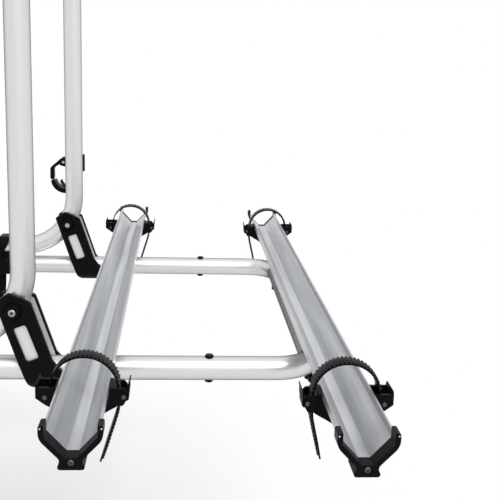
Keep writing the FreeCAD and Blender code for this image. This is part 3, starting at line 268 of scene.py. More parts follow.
class CarrierStudio(bpy.types.PropertyGroup):
    """The camera, the main light, the world and the floor."""
    camera_place: lengths("Camera place", "Where the camera stands", (-1.5475, -0.4781, 0.4167))
    camera_turn: angle("Camera turn", "Heading, from along the rails towards the open side", 0.08156)
    camera_tilt: angle("Camera tilt", "How far the camera looks down", 0.22176)
    camera_roll: angle("Camera roll", "Turn about the line of sight", 0.03257)
    lens: bpy.props.FloatProperty(
        name="Lens", description="Focal length of the camera", unit="CAMERA", default=64.66)
    sensor: bpy.props.FloatProperty(
        name="Sensor", description="Width of the camera's sensor", unit="CAMERA", default=36.0)
    nearest: length("Nearest", "Distance from which the camera shows things", 0.01)
    farthest: length("Farthest", "Distance up to which the camera shows things", 100.0)
    floor_drop: length("Floor drop", "How far the floor lies below the lowest point", 0.35)
    floor_reach: length("Floor reach", "Half the width of the floor", 30.0)
    floor_near: length("Floor near", "Distance within which the floor shows its shadows", 0.3)
    floor_far: length("Floor far", "Distance beyond which the floor is plain white", 1.2)
    floor: colour("Floor", "Pale studio floor", "#fbfbfb")
    key_from: bpy.props.FloatVectorProperty(
        name="Key direction", description="Where the main light comes from", subtype="DIRECTION",
        size=3, default=(-0.6, -0.3, 0.74))
    key_power: bpy.props.FloatProperty(
        name="Key light", description="Strength of the main light", default=2.3)
    key_spread: angle("Key spread", "How soft the shadows of the main light are", 0.6)
    world_strength: bpy.props.FloatProperty(
        name="World", description="Strength of the even light all round", default=0.46)


# Materials

def opaque(setting):
    """A colour setting as RGBA."""
    return tuple(setting) + (1.0,)


def add_node(tree, kind, values=None, links=None, **settings):
    """A shader node with its settings, the values of its inputs and the sockets linked to them."""
    node = tree.nodes.new(kind)
    for name, value in settings.items():
        setattr(node, name, value)
    for socket, value in (values or {}).items():
        node.inputs[socket].default_value = value
    for socket, source in (links or {}).items():
        tree.links.new(source, node.inputs[socket])
    return node


def new_material(name, base, metallic, roughness):
    """A material with one principled shader; returns its tree and the shader."""
    material = bpy.data.materials.new(name)
    material.use_nodes = True
    tree = material.node_tree
    shader = tree.nodes["Principled BSDF"]
    shader.inputs["Base Color"].default_value = opaque(base)
    shader.inputs["Metallic"].default_value = metallic
    shader.inputs["Roughness"].default_value = roughness
    return tree, shader


def grain(tree, size, stretch=None):
    """Noise of a real size in metres, fixed to the object; stretch is a longer size along X."""
    place = add_node(tree, "ShaderNodeTexCoord")
    scale = (1 / (stretch or size), 1 / size, 1 / size)
    mapping = add_node(tree, "ShaderNodeMapping", {"Scale": scale}, {"Vector": place.outputs["Object"]})
    noise = add_node(tree, "ShaderNodeTexNoise", {"Scale": 1.0, "Detail": 2.0},
                     {"Vector": mapping.outputs["Vector"]})
    return noise.outputs["Fac"]


def seen_directly(tree):
    """1 for what is seen, also in a mirror or through glass, and 0 for light that only bounces."""
    path = add_node(tree, "ShaderNodeLightPath")
    shown = path.outputs["Is Camera Ray"]
    for kind in ("Is Glossy Ray", "Is Transmission Ray"):
        either = add_node(tree, "ShaderNodeMath", None, {0: shown, 1: path.outputs[kind]},
                          operation="MAXIMUM")
        shown = either.outputs[0]
    return shown


def vary_gloss(tree, shader, source, by):
    """Let the roughness follow a noise, by so much down and up from its own value."""
    roughness = shader.inputs["Roughness"].default_value
    spread = add_node(tree, "ShaderNodeMapRange", {"To Min": roughness - by, "To Max": roughness + by},
                      {"Value": source})
    tree.links.new(spread.outputs["Result"], shader.inputs["Roughness"])


def emboss(tree, shader, source, strength, depth):
    """Raise the surface by a noise, depth in metres."""
    bump = add_node(tree, "ShaderNodeBump", {"Strength": strength, "Distance": depth},
                    {"Height": source})
    tree.links.new(bump.outputs["Normal"], shader.inputs["Normal"])


def anodised_tube(finishes):
    """Drawn aluminium tube, satin anodised."""
    # A soft bright band along the tube, with faint clouds in it, and dark lines where it turns away.
    # The black tint takes the glancing shine off a metal, so that those lines stay dark.
    tree, shader = new_material("anodised_tube", finishes.tube, metallic=1.0, roughness=0.36)
    vary_gloss(tree, shader, grain(tree, finishes.cloud), by=0.04)
    shader.inputs["Specular Tint"].default_value = BLACK


def anodised_rail(finishes):
    """Extruded aluminium rail, anodised."""
    # A cool silver with fine lines along the rail, where the die has drawn it, and broad, faint darker
    # streaks of painted reflection in its colour
    tree, shader = new_material("anodised_rail", finishes.rail, metallic=0.7, roughness=0.32)
    # The noise keeps mostly between these two values, so the painted reflection streaks use both
    # colours in full
    spread = add_node(tree, "ShaderNodeMapRange", {"From Min": 0.36, "From Max": 0.64},
                      {"Value": grain(tree, finishes.reflection_band, finishes.reflection_band_length)})
    # Painted reflection: broad darker streaks mixed into the rail's colour
    mix = add_node(tree, "ShaderNodeMix",
                   {"A": opaque(finishes.rail), "B": opaque(finishes.rail_streak)},
                   {"Factor": spread.outputs["Result"]}, data_type="RGBA")
    tree.links.new(mix.outputs["Result"], shader.inputs["Base Color"])
    lines = grain(tree, finishes.draw_line, finishes.draw_length)
    vary_gloss(tree, shader, lines, by=0.06)
    emboss(tree, shader, lines, strength=0.12, depth=0.00005)


def hinge_plate(finishes):
    """Aluminium plate, finely blasted."""
    # An even matt silver that has no lines and no direction
    tree, shader = new_material("hinge_plate", finishes.plate, metallic=0.7, roughness=0.5)
    vary_gloss(tree, shader, grain(tree, finishes.spark), by=0.05)


def cast_bracket(finishes):
    """Cast aluminium."""
    # Greyer and duller than the tubes, with the slightly rough skin of its mould
    tree, shader = new_material("cast_bracket", finishes.bracket, metallic=0.7, roughness=0.5)
    emboss(tree, shader, grain(tree, finishes.spark * 2), strength=0.3, depth=0.0001)


def white_plastic(finishes):
    """Moulded white polypropylene."""
    # Soft shadows and a warm glow, because a little light goes into it
    _, shader = new_material("white_plastic", finishes.cap, metallic=0.0, roughness=0.38)
    shader.inputs["Subsurface Weight"].default_value = 0.2
    shader.inputs["Subsurface Radius"].default_value = (1.0, 0.9, 0.8)
    shader.inputs["Subsurface Scale"].default_value = 0.003


def black_plastic(finishes):
    """Moulded black nylon with glass fibre in it."""
    # Nearly black, with a weak sheen that the moulded grain breaks up
    tree, shader = new_material("black_plastic", finishes.plastic, metallic=0.0, roughness=0.42)
    shader.inputs["Specular IOR Level"].default_value = 0.07
    emboss(tree, shader, grain(tree, finishes.spark), strength=0.2, depth=0.00006)


def strap_plastic(finishes):
    """Moulded black polyurethane, flexible."""
    # Smooth, and a little glossier than the hard parts, so that its teeth catch the light
    tree, shader = new_material("strap_plastic", finishes.strap, metallic=0.0, roughness=0.37)
    shader.inputs["Specular IOR Level"].default_value = 0.07
    vary_gloss(tree, shader, grain(tree, finishes.cloud / 2), by=0.05)


def rubber(finishes):
    """Moulded black rubber."""
    # Dull all over, with a fine matt grain
    tree, shader = new_material("rubber", finishes.rubber, metallic=0.0, roughness=0.7)
    shader.inputs["Specular IOR Level"].default_value = 0.1
    emboss(tree, shader, grain(tree, finishes.spark), strength=0.3, depth=0.00005)


def steel_fastener(finishes):
    """Zinc-plated steel."""
    # Bright, with small patches of more and less gloss from the plating
    tree, shader = new_material("steel_fastener", finishes.steel, metallic=1.0, roughness=0.31)
    vary_gloss(tree, shader, grain(tree, finishes.cloud / 4), by=0.07)


def dark_steel(finishes):
    """Steel, blackened and oiled."""
    # A dark glint, uneven where the oil lies thicker
    # The same material is also the painted shade at the bottom of each pivot screw's socket
    tree, shader = new_material("dark_steel", finishes.dark_steel, metallic=0.9, roughness=0.365)
    vary_gloss(tree, shader, grain(tree, finishes.cloud / 4), by=0.085)


MATERIALS = (anodised_tube, anodised_rail, hinge_plate, cast_bracket, white_plastic, black_plastic,
             strap_plastic, rubber, steel_fastener, dark_steel)
# Parts that don't have the finish of their slot
OTHER_FINISH = {"hinge_plates": "hinge_plate", "tube_grommets": "rubber"}


class CARRIER_OT_finishes(bpy.types.Operator):
    """Make the materials and give each part its own"""
    bl_idname = "carrier.finishes"
    bl_label = "Finishes"

    def execute(self, context):
        # The plain materials that come with the solids go
        for plain in list(bpy.data.materials):
            bpy.data.materials.remove(plain)
        for make in MATERIALS:
            make(context.scene.carrier_finishes)
        for part in frame["record"]["subparts"]:
            node = part["node"]
            mesh = frame["nodes"][node].data
            mesh.materials.clear()
            mesh.materials.append(bpy.data.materials[OTHER_FINISH.get(node, part["material_slot"])])
        return {"FINISHED"}


# Making meshes

def new_piece(name, points, faces, body, slot, finish=None):
    """A mesh that rides on a body; it gets its slot's material unless a finish is named."""
    mesh = bpy.data.meshes.new(name)
    mesh.from_pydata([tuple(point) for point in points], [], faces)
    shell = bmesh.new()
    shell.from_mesh(mesh)
    bmesh.ops.recalc_face_normals(shell, faces=shell.faces)
    shell.to_mesh(mesh)
    shell.free()
    mesh.shade_smooth()
    mesh.set_sharp_from_angle(angle=CRISP_ANGLE)
    mesh.materials.append(bpy.data.materials[finish or slot])
    piece = bpy.data.objects.new(name, mesh)
    bpy.context.scene.collection.objects.link(piece)
    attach(piece, body)
    return piece


def merged(parts):
    """Several (points, faces) meshes as one."""
    points, faces = [], []
    for some_points, some_faces in parts:
        start = len(points)
        points += some_points
        faces += [tuple(start + i for i in face) for face in some_faces]
    return points, faces


def loft(rings, looped=False):
    """A skin over rings of equally many points; it has a face at each end, unless it is looped."""
    count = len(rings[0])
    points = [point for ring in rings for point in ring]
    faces = []
    for i in range(len(rings) if looped else len(rings) - 1):
        here = i * count
        there = (i + 1) % len(rings) * count
        for j in range(count):
            k = (j + 1) % count
            faces.append((here + j, here + k, there + k, there + j))
    if not looped:
        faces.append(tuple(range(count)))
        faces.append(tuple(range(len(points) - count, len(points))))
    return points, faces


def turned(rings, place, axis, steps=ROUND_STEPS):
    """A solid turned about an axis; each ring is (radius or a function of the angle, height)."""
    axis = Vector(axis).normalized()
    first = axis.orthogonal().normalized()
    second = axis.cross(first)
    loops = []
    for radius, height in rings:
        loop = []
        for i in range(steps):
            angle = 2 * math.pi * i / steps
            reach = radius(angle) if callable(radius) else radius
            loop.append(Vector(place) + axis * height
                        + (first * math.cos(angle) + second * math.sin(angle)) * reach)
        loops.append(loop)
    return loft(loops)


def bar_between(start, end, side, across):
    """A straight bar from start to end, with a rectangular section spanned by two vectors."""
    start, end, side, across = Vector(start), Vector(end), Vector(side), Vector(across)
    corners = (-side, side, side + across, across - side)
    return loft([[start + corner for corner in corners], [end + corner for corner in corners]])


def filleted(points, bends, step):
    """Evenly spaced points along a flat path whose corners are rounded to the given radii."""
    path = [Vector(points[0])]
    for corner, before, after, bend in zip(points[1:-1], points, points[2:], bends):
        corner = Vector(corner)
        back = (Vector(before) - corner).normalized()
        ahead = (Vector(after) - corner).normalized()
        half = back.angle(ahead) / 2
        middle = (back + ahead).normalized()
        centre = corner + middle * (bend / math.sin(half))
        start = corner + back * (bend / math.tan(half)) - centre
        end = corner + ahead * (bend / math.tan(half)) - centre
        pieces = max(2, int(start.angle(end) * bend / step))
        for i in range(pieces + 1):
            path.append(centre + (start.lerp(end, i / pieces)).normalized() * bend)
    path.append(Vector(points[-1]))
    return even_steps(path, step)


def even_steps(path, step):
    """The same path cut at equal steps."""
    runs = [(b - a).length for a, b in zip(path, path[1:])]
    total = sum(runs)
    count = int(total / step)
    spaced, i, passed = [], 0, 0.0
    for n in range(count + 1):
        at = total * n / count
        while i < len(runs) - 1 and passed + runs[i] < at:
            passed += runs[i]
            i += 1
        ahead = min(1.0, (at - passed) / runs[i]) if runs[i] else 0.0
        spaced.append(path[i].lerp(path[i + 1], ahead))
    return spaced


# Places taken from the frame

def middle_of(node):
    """The middle of a part's box."""
    low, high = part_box(node)
    return (Vector(low) + Vector(high)) / 2


def pin_of(joint):
    """Where a joint's pin is."""
    for entry in frame["record"]["behaviour"]["joints"]:
        if entry["name"] == joint:
            return Vector(entry["pos_m"])
    raise KeyError(joint)


# Straps

# The height at each step along a tooth, as a share of the whole height
TOOTH_SHAPE = (0.0, 0.0, 0.5, 1.0, 1.0, 0.15)
# The rounding of a strap's edges, as a share of its thickness
EDGE_SHARE = 1 / 6


def strap_section(sizes, half, rise):
    """The strap's cross-section as (across, up) pairs: smooth margins and a tooth between them."""
    soft = sizes.thick * EDGE_SHARE
    low, high = -sizes.thick / 2, sizes.thick / 2
    tooth = half - sizes.edge
    right = [(half - soft, low), (half, low + soft), (half, high - soft), (half - soft, high),
             (tooth, high), (tooth - soft, high + rise)]
    return right + [(-across, up) for across, up in right[::-1]]


def strap_mesh(path, put, sizes, toothed_from):
    """A ladder strap along (out, up) points; put(out, across, up) gives a place in space."""
    rings = []
    step = sizes.pitch / len(TOOTH_SHAPE)
    total = (len(path) - 1) * step
    for i, spot in enumerate(path):
        along = (path[min(i + 1, len(path) - 1)] - path[max(i - 1, 0)]).normalized()
        left = Vector((-along.y, along.x))
        passed = i * step
        to_end = min(1.0, (total - passed) / sizes.taper)
        half = (sizes.tip + (sizes.width - sizes.tip) * to_end) / 2
        toothed = passed > toothed_from and total - passed > sizes.pitch
        rise = sizes.tooth * TOOTH_SHAPE[i % len(TOOTH_SHAPE)] if toothed else 0.0
        ring = []
        for across, up in strap_section(sizes, half, rise):
            point = spot + left * up
            ring.append(put(point.x, across, point.y))
        rings.append(ring)
    return loft(rings)


class CARRIER_OT_wheel_straps(bpy.types.Operator):
    """Lay a toothed strap over each end of each rail, with its eye, arch and hanging tail"""
    bl_idname = "carrier.wheel_straps"
    bl_label = "Wheel straps"

    def execute(self, context):
        sizes, way = context.scene.carrier_straps, context.scene.carrier_wheel_strap
        arch = (way.eye_side + way.buckle_side) / 2 - way.crest
        low = -way.straight
        for (rail, face), smooth_run, tail, lean in zip(RAILS, way.smooth_runs, way.tails, way.leans):
            y = middle_of("rail_" + rail).y
            corners = [(-way.eye_pin, 0.0), (-way.eye_side, way.eye_pin - way.eye_side),
                       (-way.eye_side, way.rise), (way.buckle_side, way.rise),
                       (way.buckle_side, low), (way.buckle_side - lean, low - tail)]
            bends = (way.eye_bend, arch, arch, way.tail_bend)
            path = filleted(corners, bends, sizes.pitch / len(TOOTH_SHAPE))
            parts = []
            for name, _ in SIDES:
                pin = pin_of("wheel_lever_%s_%s_pull" % (rail, name))

                def put(out, across, up):
                    return Vector((pin.x + across, y + face * out, pin.z + up))

                parts.append(strap_mesh(path, put, sizes, smooth_run))
                start = put(-way.eye_pin, -sizes.width / 2, 0.0)
                parts.append(turned([(sizes.eye, 0.0), (sizes.eye, sizes.width)], start, (1, 0, 0)))
            straps = new_piece("ladder_straps_" + rail, *merged(parts), rail + "_rail", "strap_plastic")
            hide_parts("wheel_straps_" + rail)
        return {"FINISHED"}


class CARRIER_OT_clamp_straps(bpy.types.Operator):
    """Lay a toothed strap over each side tube, its tail curling inwards below the buckle"""
    bl_idname = "carrier.clamp_straps"
    bl_label = "Clamp straps"

    def execute(self, context):
        sizes, way = context.scene.carrier_straps, context.scene.carrier_clamp_strap
        corners = [(-way.side, -way.drop), (-way.side, -way.knee), (-way.shoulder, way.crown),
                   (way.shoulder, way.crown), (way.side, -way.knee)]
        corners += [(way.side - inwards, -down) for inwards, down in zip(way.tail_in, way.tail_down)]
        # The tail bends at each of its points but the last
        bends = [way.knee_bend, way.crown_bend, way.crown_bend, way.knee_bend]
        bends += [way.tail_bend] * (len(way.tail_in) - 1)
        path = filleted(corners, bends, sizes.pitch / len(TOOTH_SHAPE))
        for name, side in SIDES:
            pin = pin_of("clamp_lever_%s_pull" % name)
            leg = middle_of("frame_tube_" + name).x

            def put(out, across, up):
                lean = way.lean * max(0.0, up + way.lean_from)
                return Vector((leg + side * out, pin.y + across - lean, up))

            points, faces = strap_mesh(path, put, sizes, way.smooth_run)
            strap = new_piece("ladder_strap_" + name, points, faces, "platform", "strap_plastic")
            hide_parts("clamp_strap_" + name)
        return {"FINISHED"}


# Screws, rivets and pins

# The profiles of a domed screw head and of a rivet, as shares of their radius and height
DOME_PROFILE = ((1.0, 0.0), (1.0, 0.25), (0.9, 0.7), (0.7, 0.95))
RIVET_PROFILE = ((1.0, 0.0), (1.0, 0.5), (0.5, 1.0))
# The chamfer of a pin's head, as a share of the head's height
HEAD_CHAMFER = 1 / 3


def headed_pin(start, end, radius, head, head_height):
    """A pin with a low chamfered head at both ends."""
    start, end = Vector(start), Vector(end)
    span = (end - start).length
    cut = head_height * HEAD_CHAMFER
    half = [(head - cut, -head_height), (head, cut - head_height), (head, 0.0), (radius, 0.0)]
    rings = half + [(reach, span - height) for reach, height in half[::-1]]
    return turned(rings, start, end - start)


def cross_reach(reach, half_width):
    """The outline of a cross recess, as a radius for each angle."""
    def radius(angle):
        off_arm = abs((angle + math.pi / 4) % (math.pi / 2) - math.pi / 4)
        return min(reach, half_width / max(math.sin(off_arm), half_width / reach))
    return radius


def hexagon(flat):
    """A hexagon's outline, as a radius for each angle."""
    def radius(angle):
        return flat / math.cos(angle % (math.pi / 3) - math.pi / 6)
    return radius


def scaled(profile, radius, height):
    """A profile in its real size."""
    return [(radius * across, height * up) for across, up in profile]


def cross_screw(seat, axis, sizes):
    """A domed screw head with a cross recess, seated on a face."""
    dome = sizes.screw_dome
    recess = cross_reach(sizes.cross_reach, sizes.cross_half)
    floor = cross_reach(sizes.cross_floor, sizes.cross_half * sizes.cross_floor / sizes.cross_reach)
    rings = scaled(DOME_PROFILE, sizes.screw_head, dome)
    rings += [(recess, dome), (floor, dome - sizes.cross_depth)]
    return turned(rings, seat, axis, CROSS_STEPS)


class CARRIER_OT_rail_fasteners(bpy.types.Operator):
    """Put the cross-head screws, rivets and pins in the rails' fittings"""
    bl_idname = "carrier.rail_fasteners"
    bl_label = "Rail fasteners"

    def execute(self, context):
        sizes = context.scene.carrier_fasteners
        way = context.scene.carrier_wheel_strap
        for rail, face in RAILS:
            low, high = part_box("rail_" + rail)
            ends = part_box("rail_cradles_" + rail)
            y = middle_of("rail_" + rail).y
            rivet = scaled(RIVET_PROFILE, sizes.rivet, sizes.rivet_height)
            rivets, dark = [], []
            for name, side in SIDES:
                end = ends[1][0] if side > 0 else ends[0][0]
                axis = (side, 0, 0)
                dark.append(cross_screw((end, y, low[2] + sizes.screw_up), axis, sizes))
                for lip in (-1, 1):
                    across = (high[1] - low[1]) / 2 + sizes.rivet_out
                    seat = (end, y + lip * across, high[2])
                    rivets.append(turned(rivet, seat, axis))
                pin = pin_of("wheel_lever_%s_%s_pull" % (rail, name))
                anchor = Vector((pin.x, y - face * way.eye_pin, pin.z))
                for middle, half in ((anchor, sizes.anchor_half), (pin, sizes.buckle_half)):
                    reach = Vector((half, 0, 0))
                    dark.append(headed_pin(middle - reach, middle + reach, sizes.pin, sizes.pin_head,
                                           sizes.pin_head_height))
            pins = new_piece("rail_pins_" + rail, *merged(dark), rail + "_rail", "steel_fastener",
                             "dark_steel")
            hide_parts("rail_fasteners_" + rail)
            new_piece("cradle_rivets_" + rail, *merged(rivets), rail + "_rail", "steel_fastener")
        return {"FINISHED"}


class CARRIER_OT_pivot_screws(bpy.types.Operator):
    """Put a socket-head screw with its nut through each hinge"""
    bl_idname = "carrier.pivot_screws"
    bl_label = "Pivot screws"

    def execute(self, context):
        sizes = context.scene.carrier_fasteners
        low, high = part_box("pivot_screws")
        pivot = pin_of("platform_fold")
        parts, socket_shade_floors = [], []
        for name, side in SIDES:
            leg = middle_of("frame_tube_" + name).x
            top = abs(high[0] if side > 0 else low[0]) - abs(leg)
            seat = top - sizes.socket_height
            head, cut = sizes.socket_head, sizes.chamfer
            hollow = hexagon(sizes.socket_flat)
            # The nut's corners reach out as far as the head does
            nut = hexagon(head * math.cos(math.pi / 6))
            bottom = top - sizes.socket_depth
            rings = [(nut, -seat - sizes.nut_height), (nut, -seat), (sizes.shank, -seat),
                     (sizes.shank, seat), (head, seat), (head, top - cut), (head - cut, top),
                     (hollow, top), (hollow, bottom)]
            # Painted shade: a dark disc at the bottom of each hexagon socket, where the recess lies in
            # shadow
            floor = [(hollow, bottom), (hollow, bottom + cut)]
            place, away = (leg, pivot.y, pivot.z), (side, 0, 0)
            parts.append(turned(rings, place, away, HEXAGON_STEPS))
            socket_shade_floors.append(turned(floor, place, away, HEXAGON_STEPS))
        screws = new_piece("socket_screws", *merged(parts), "platform", "steel_fastener")
        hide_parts("pivot_screws")
        new_piece("socket_painted_shade", *merged(socket_shade_floors), "platform", "steel_fastener", "dark_steel")
        return {"FINISHED"}


# Rounded edges and raised details

SOFT_PARTS = ("hinge_cover", "clamp_sleeve", "rail_cradles", "strap_holders", "arm_clamp", "arm_jaw",
              "arm_knob", "rail_knob")
FINE_PARTS = ("wheel_buckles", "clamp_buckle", "wheel_lever", "clamp_lever", "jaw_finger",
              "crossbar_plugs", "tube_plugs", "tube_grommets", "pivot_bosses", "clamp_fasteners")
METAL_PARTS = ("rail_inner", "rail_outer", "wall_brackets", "hinge_plates")
# Steps across a rounded edge, round each corner of a raised frame and along a jaw's lining
EDGE_STEPS = 2
CORNER_STEPS = 6
LINING_STEPS = 32
# How far the sides of a jaw's lining slope in, as a share of its thickness
LINING_SLOPE = 1 / 3


class CARRIER_OT_soft_edges(bpy.types.Operator):
    """Round the edges of moulded parts and break those of cut metal"""
    bl_idname = "carrier.soft_edges"
    bl_label = "Soft edges"

    def execute(self, context):
        trim = context.scene.carrier_trim
        for names, width in ((SOFT_PARTS, trim.soft_edge), (FINE_PARTS, trim.fine_edge),
                             (METAL_PARTS, trim.metal_edge)):
            for node, part in frame["nodes"].items():
                if node.startswith(names):
                    bevel = part.modifiers.new("soft_edge", "BEVEL")
                    bevel.width = width
                    bevel.segments = EDGE_STEPS
                    bevel.limit_method = "ANGLE"
                    bevel.angle_limit = ROUNDED_ANGLE
                    bevel.harden_normals = True
        return {"FINISHED"}


def rounded_rectangle(half_width, half_height, corner):
    """Points round a rectangle with round corners, as (across, along) pairs."""
    points = []
    for quarter in range(4):
        east = 1 if quarter in (0, 3) else -1
        north = 1 if quarter in (0, 1) else -1
        for i in range(CORNER_STEPS + 1):
            angle = math.pi / 2 * (quarter + i / CORNER_STEPS)
            points.append((east * (half_width - corner) + corner * math.cos(angle),
                           north * (half_height - corner) + corner * math.sin(angle)))
    return points


def frame_mesh(half_width, half_height, corner, width, proud, put):
    """A raised frame round a rectangle; put(across, along, up) gives a place in space."""
    soft = proud / 2
    rings = []
    for out, up in ((0.0, 0.0), (0.0, proud - soft), (soft, proud), (width - soft, proud),
                    (width, proud - soft), (width, 0.0)):
        ring = rounded_rectangle(half_width + out, half_height + out, corner + out)
        rings.append([put(across, along, up) for across, along in ring])
    return loft(rings, looped=True)


class CARRIER_OT_window_rims(bpy.types.Operator):
    """Raise a rim round the long window in each hinge cover"""
    bl_idname = "carrier.window_rims"
    bl_label = "Window rims"

    def execute(self, context):
        trim, window = context.scene.carrier_trim, context.scene.carrier_window
        pivot = pin_of("platform_fold")
        down = Vector((0, -math.sin(window.tilt), -math.cos(window.tilt)))
        out = Vector((0, -math.cos(window.tilt), math.sin(window.tilt)))
        middle = (window.top + window.bottom) / 2
        half_height = (window.bottom - window.top) / 2
        for name, _ in SIDES:
            low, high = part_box("hinge_cover_" + name)
            parts = []
            for x, face in ((low[0], -1), (high[0], 1)):
                def put(across, along, up):
                    place = pivot + out * across + down * (middle + along)
                    return Vector((x + face * up, place.y, place.z))

                parts.append(frame_mesh(window.width / 2, half_height, window.corner, trim.rim,
                                        trim.rim_proud, put))
            new_piece("window_rims_" + name, *merged(parts), "platform", "black_plastic")
        return {"FINISHED"}


class CARRIER_OT_lever_ridges(bpy.types.Operator):
    """Put grip ridges on the ratchet levers"""
    bl_idname = "carrier.lever_ridges"
    bl_label = "Lever ridges"

    def execute(self, context):
        trim = context.scene.carrier_trim
        levers = [("wheel_lever_%s_%s" % (rail, name), Vector((0, face, 0)), Vector((1, 0, 0)))
                  for rail, face in RAILS for name, _ in SIDES]
        levers += [("clamp_lever_" + name, Vector((side, 0, 0)), Vector((0, 1, 0)))
                   for name, side in SIDES]
        for lever, out, across in levers:
            pin = pin_of(lever + "_pull")
            face = pin + out * trim.lever_face
            half = across * trim.ridge_half
            parts = []
            for i in range(trim.ridges):
                level = Vector((0, 0, trim.ridge_from + i * trim.ridge_pitch))
                parts.append(bar_between(face + level - half, face + level + half,
                                         Vector((0, 0, trim.ridge / 2)), out * trim.ridge_proud))
            new_piece(lever + "_ridges", *merged(parts), lever, "black_plastic")
        return {"FINISHED"}


class CARRIER_OT_jaw_linings(bpy.types.Operator):
    """Line the hooked jaws with rubber"""
    bl_idname = "carrier.jaw_linings"
    bl_label = "Jaw linings"

    def execute(self, context):
        trim = context.scene.carrier_trim
        for name, _ in SIDES:
            low, high = (Vector(corner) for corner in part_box("arm_jaw_" + name))
            centre_y, centre_z = low.y + trim.jaw_outer, low.z + trim.jaw_outer
            rings = []
            for i in range(LINING_STEPS + 1):
                angle = trim.lining_start + (trim.lining_end - trim.lining_start) * i / LINING_STEPS
                ring = []
                for reach in (trim.jaw_inner, trim.jaw_inner - trim.lining):
                    y = centre_y + reach * math.cos(angle)
                    z = centre_z + reach * math.sin(angle)
                    edge = (trim.jaw_inner - reach) * LINING_SLOPE
                    ends = (low.x + trim.jaw_side + edge, high.x - trim.jaw_side - edge)
                    ring += [(x, y, z) for x in (ends if reach == trim.jaw_inner else ends[::-1])]
                rings.append(ring)
            points, faces = loft(rings)
            new_piece("jaw_lining_" + name, points, faces, "arm_" + name, "black_plastic", "rubber")
        return {"FINISHED"}


class CARRIER_OT_sleeve_relief(bpy.types.Operator):
    """Raise the small frame and ribs moulded into each clamp sleeve beside its buckle"""
    bl_idname = "carrier.sleeve_relief"
    bl_label = "Sleeve relief"

    def execute(self, context):
        relief = context.scene.carrier_relief
        for name, side in SIDES:
            pin = pin_of("clamp_lever_%s_pull" % name)
            leg = middle_of("frame_tube_" + name).x
            centre_z = middle_of("platform_tube").z
            y = pin.y - relief.ahead

            def put(across, along, up):
                reach = relief.sleeve + up
                angle = along / relief.sleeve
                return Vector((leg + side * reach * math.cos(angle), y + across,
                               centre_z + reach * math.sin(angle)))

            parts = [frame_mesh(relief.half_width, relief.half_height, relief.corner, relief.rib,
                                relief.proud, put)]
            # Two short ribs part the frame's opening into three
            for along in (-relief.half_height / 3, relief.half_height / 3):
                start = put(-relief.half_width / 2, along, 0.0)
                end = put(relief.half_width / 2, along, 0.0)
                out = put(0.0, along, relief.proud) - put(0.0, along, 0.0)
                parts.append(bar_between(start, end, Vector((0, 0, relief.rib / 2)), out))
            new_piece("sleeve_relief_" + name, *merged(parts), "platform", "black_plastic")
        return {"FINISHED"}


# Studio

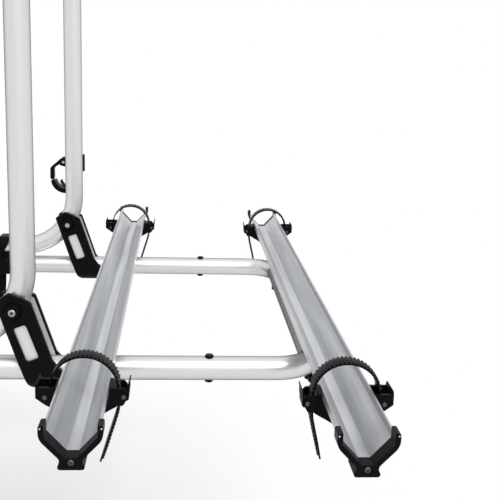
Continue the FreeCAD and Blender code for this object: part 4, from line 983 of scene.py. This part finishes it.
class CARRIER_OT_studio(bpy.types.Operator):
    """Set up the floor, the world, the main light and the camera"""
    bl_idname = "carrier.studio"
    bl_label = "Studio"

    def execute(self, context):
        scene = context.scene
        studio = scene.carrier_studio
        low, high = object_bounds()
        self.floor(studio, low[2] - studio.floor_drop)
        self.world(studio)
        self.key_light(studio)
        self.camera(studio)
        scene.view_settings.view_transform = "Standard"
        return {"FINISHED"}

    def floor(self, studio, level):
        """A pale floor that takes shadows near the carrier and turns plain white further off."""
        reach = studio.floor_reach
        corners = [(x * reach, y * reach, level) for x, y in ((-1, -1), (1, -1), (1, 1), (-1, 1))]
        mesh = bpy.data.meshes.new("floor")
        mesh.from_pydata(corners, [], [(0, 1, 2, 3)])
        tree, shader = new_material("studio_floor", studio.floor, metallic=0.0, roughness=0.9)
        shader.inputs["Specular IOR Level"].default_value = 0.0
        place = add_node(tree, "ShaderNodeTexCoord")
        off = add_node(tree, "ShaderNodeVectorMath", None, {0: place.outputs["Object"]},
                       operation="LENGTH")
        fade = add_node(tree, "ShaderNodeMapRange",
                        {"From Min": studio.floor_near, "From Max": studio.floor_far},
                        {"Value": off.outputs["Value"]}, interpolation_type="SMOOTHSTEP")
        plain = add_node(tree, "ShaderNodeMath", None,
                         {0: seen_directly(tree), 1: fade.outputs["Result"]}, operation="MULTIPLY")
        white = add_node(tree, "ShaderNodeEmission", {"Color": WHITE, "Strength": 1.0})
        pick = add_node(tree, "ShaderNodeMixShader", None,
                        {0: plain.outputs[0], 1: shader.outputs[0], 2: white.outputs[0]})
        tree.links.new(pick.outputs[0], tree.nodes["Material Output"].inputs["Surface"])
        mesh.materials.append(bpy.data.materials["studio_floor"])
        floor = bpy.data.objects.new("floor", mesh)
        bpy.context.scene.collection.objects.link(floor)
        floor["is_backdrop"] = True

    def world(self, studio):
        """Even light all round; the camera, mirrors and glass see plain white."""
        world = bpy.data.worlds.new("studio_world")
        bpy.context.scene.world = world
        world.use_nodes = True
        tree = world.node_tree
        background = tree.nodes["Background"]
        background.inputs["Color"].default_value = WHITE
        background.inputs["Strength"].default_value = studio.world_strength
        white = add_node(tree, "ShaderNodeBackground", {"Color": WHITE, "Strength": 1.0})
        pick = add_node(tree, "ShaderNodeMixShader", None,
                        {0: seen_directly(tree), 1: background.outputs[0], 2: white.outputs[0]})
        tree.links.new(pick.outputs[0], tree.nodes["World Output"].inputs["Surface"])

    def key_light(self, studio):
        """The main light, a lamp with soft shadows."""
        data = bpy.data.lights.new("key_light", "SUN")
        data.energy = studio.key_power
        data.angle = studio.key_spread
        lamp = bpy.data.objects.new("key_light", data)
        lamp.rotation_euler = Vector(studio.key_from).to_track_quat("Z", "Y").to_euler()
        bpy.context.scene.collection.objects.link(lamp)

    def camera(self, studio):
        """A camera with the heading, tilt and roll of the photograph."""
        turn, tilt, roll = studio.camera_turn, studio.camera_tilt, studio.camera_roll
        level = Vector((math.cos(turn), -math.sin(turn), 0))
        ahead = level * math.cos(tilt) - Vector((0, 0, 1)) * math.sin(tilt)
        right = ahead.cross(Vector((0, 0, 1))).normalized()
        up = right.cross(ahead)
        rolled_right = math.cos(roll) * right + math.sin(roll) * up
        rolled_up = math.cos(roll) * up - math.sin(roll) * right
        data = bpy.data.cameras.new("camera")
        data.sensor_width = studio.sensor
        data.lens = studio.lens
        data.clip_start = studio.nearest
        data.clip_end = studio.farthest
        camera = bpy.data.objects.new("camera", data)
        basis = Matrix((rolled_right, rolled_up, -ahead)).transposed()
        camera.matrix_world = Matrix.Translation(Vector(studio.camera_place)) @ basis.to_4x4()
        bpy.context.scene.collection.objects.link(camera)
        bpy.context.scene.camera = camera


# Panel and registration

class CARRIER_PT_panel(bpy.types.Panel):
    """Lists the steps that build the carrier's look"""
    bl_idname = "CARRIER_PT_panel"
    bl_label = "Rear bike carrier"
    bl_space_type = "VIEW_3D"
    bl_region_type = "UI"
    bl_category = "Bike Carrier"

    def draw(self, context):
        for step in STEPS:
            self.layout.operator(step.bl_idname)


GROUPS = {
    "carrier_finishes": CarrierFinishes, "carrier_straps": StrapSizes,
    "carrier_wheel_strap": WheelStrapPath, "carrier_clamp_strap": ClampStrapPath,
    "carrier_fasteners": FastenerSizes, "carrier_trim": TrimSizes, "carrier_window": WindowSizes,
    "carrier_relief": ReliefSizes, "carrier_studio": CarrierStudio,
}
STEPS = (CARRIER_OT_finishes, CARRIER_OT_soft_edges, CARRIER_OT_wheel_straps, CARRIER_OT_clamp_straps,
         CARRIER_OT_rail_fasteners, CARRIER_OT_pivot_screws, CARRIER_OT_window_rims,
         CARRIER_OT_lever_ridges, CARRIER_OT_sleeve_relief, CARRIER_OT_jaw_linings, CARRIER_OT_studio)
CLASSES = tuple(GROUPS.values()) + STEPS + (CARRIER_PT_panel,)


def register():
    """Register the classes and give the scenes their settings."""
    for cls in CLASSES:
        bpy.utils.register_class(cls)
    for name, group in GROUPS.items():
        setattr(bpy.types.Scene, name, bpy.props.PointerProperty(type=group))


def unregister():
    """Take the settings and the classes away again."""
    for name in GROUPS:
        delattr(bpy.types.Scene, name)
    for cls in reversed(CLASSES):
        bpy.utils.unregister_class(cls)


def main():
    """Run each step in order."""
    register()
    for step in STEPS:
        group, name = step.bl_idname.split(".")
        getattr(getattr(bpy.ops, group), name)()


if __name__ == "__main__":
    main()
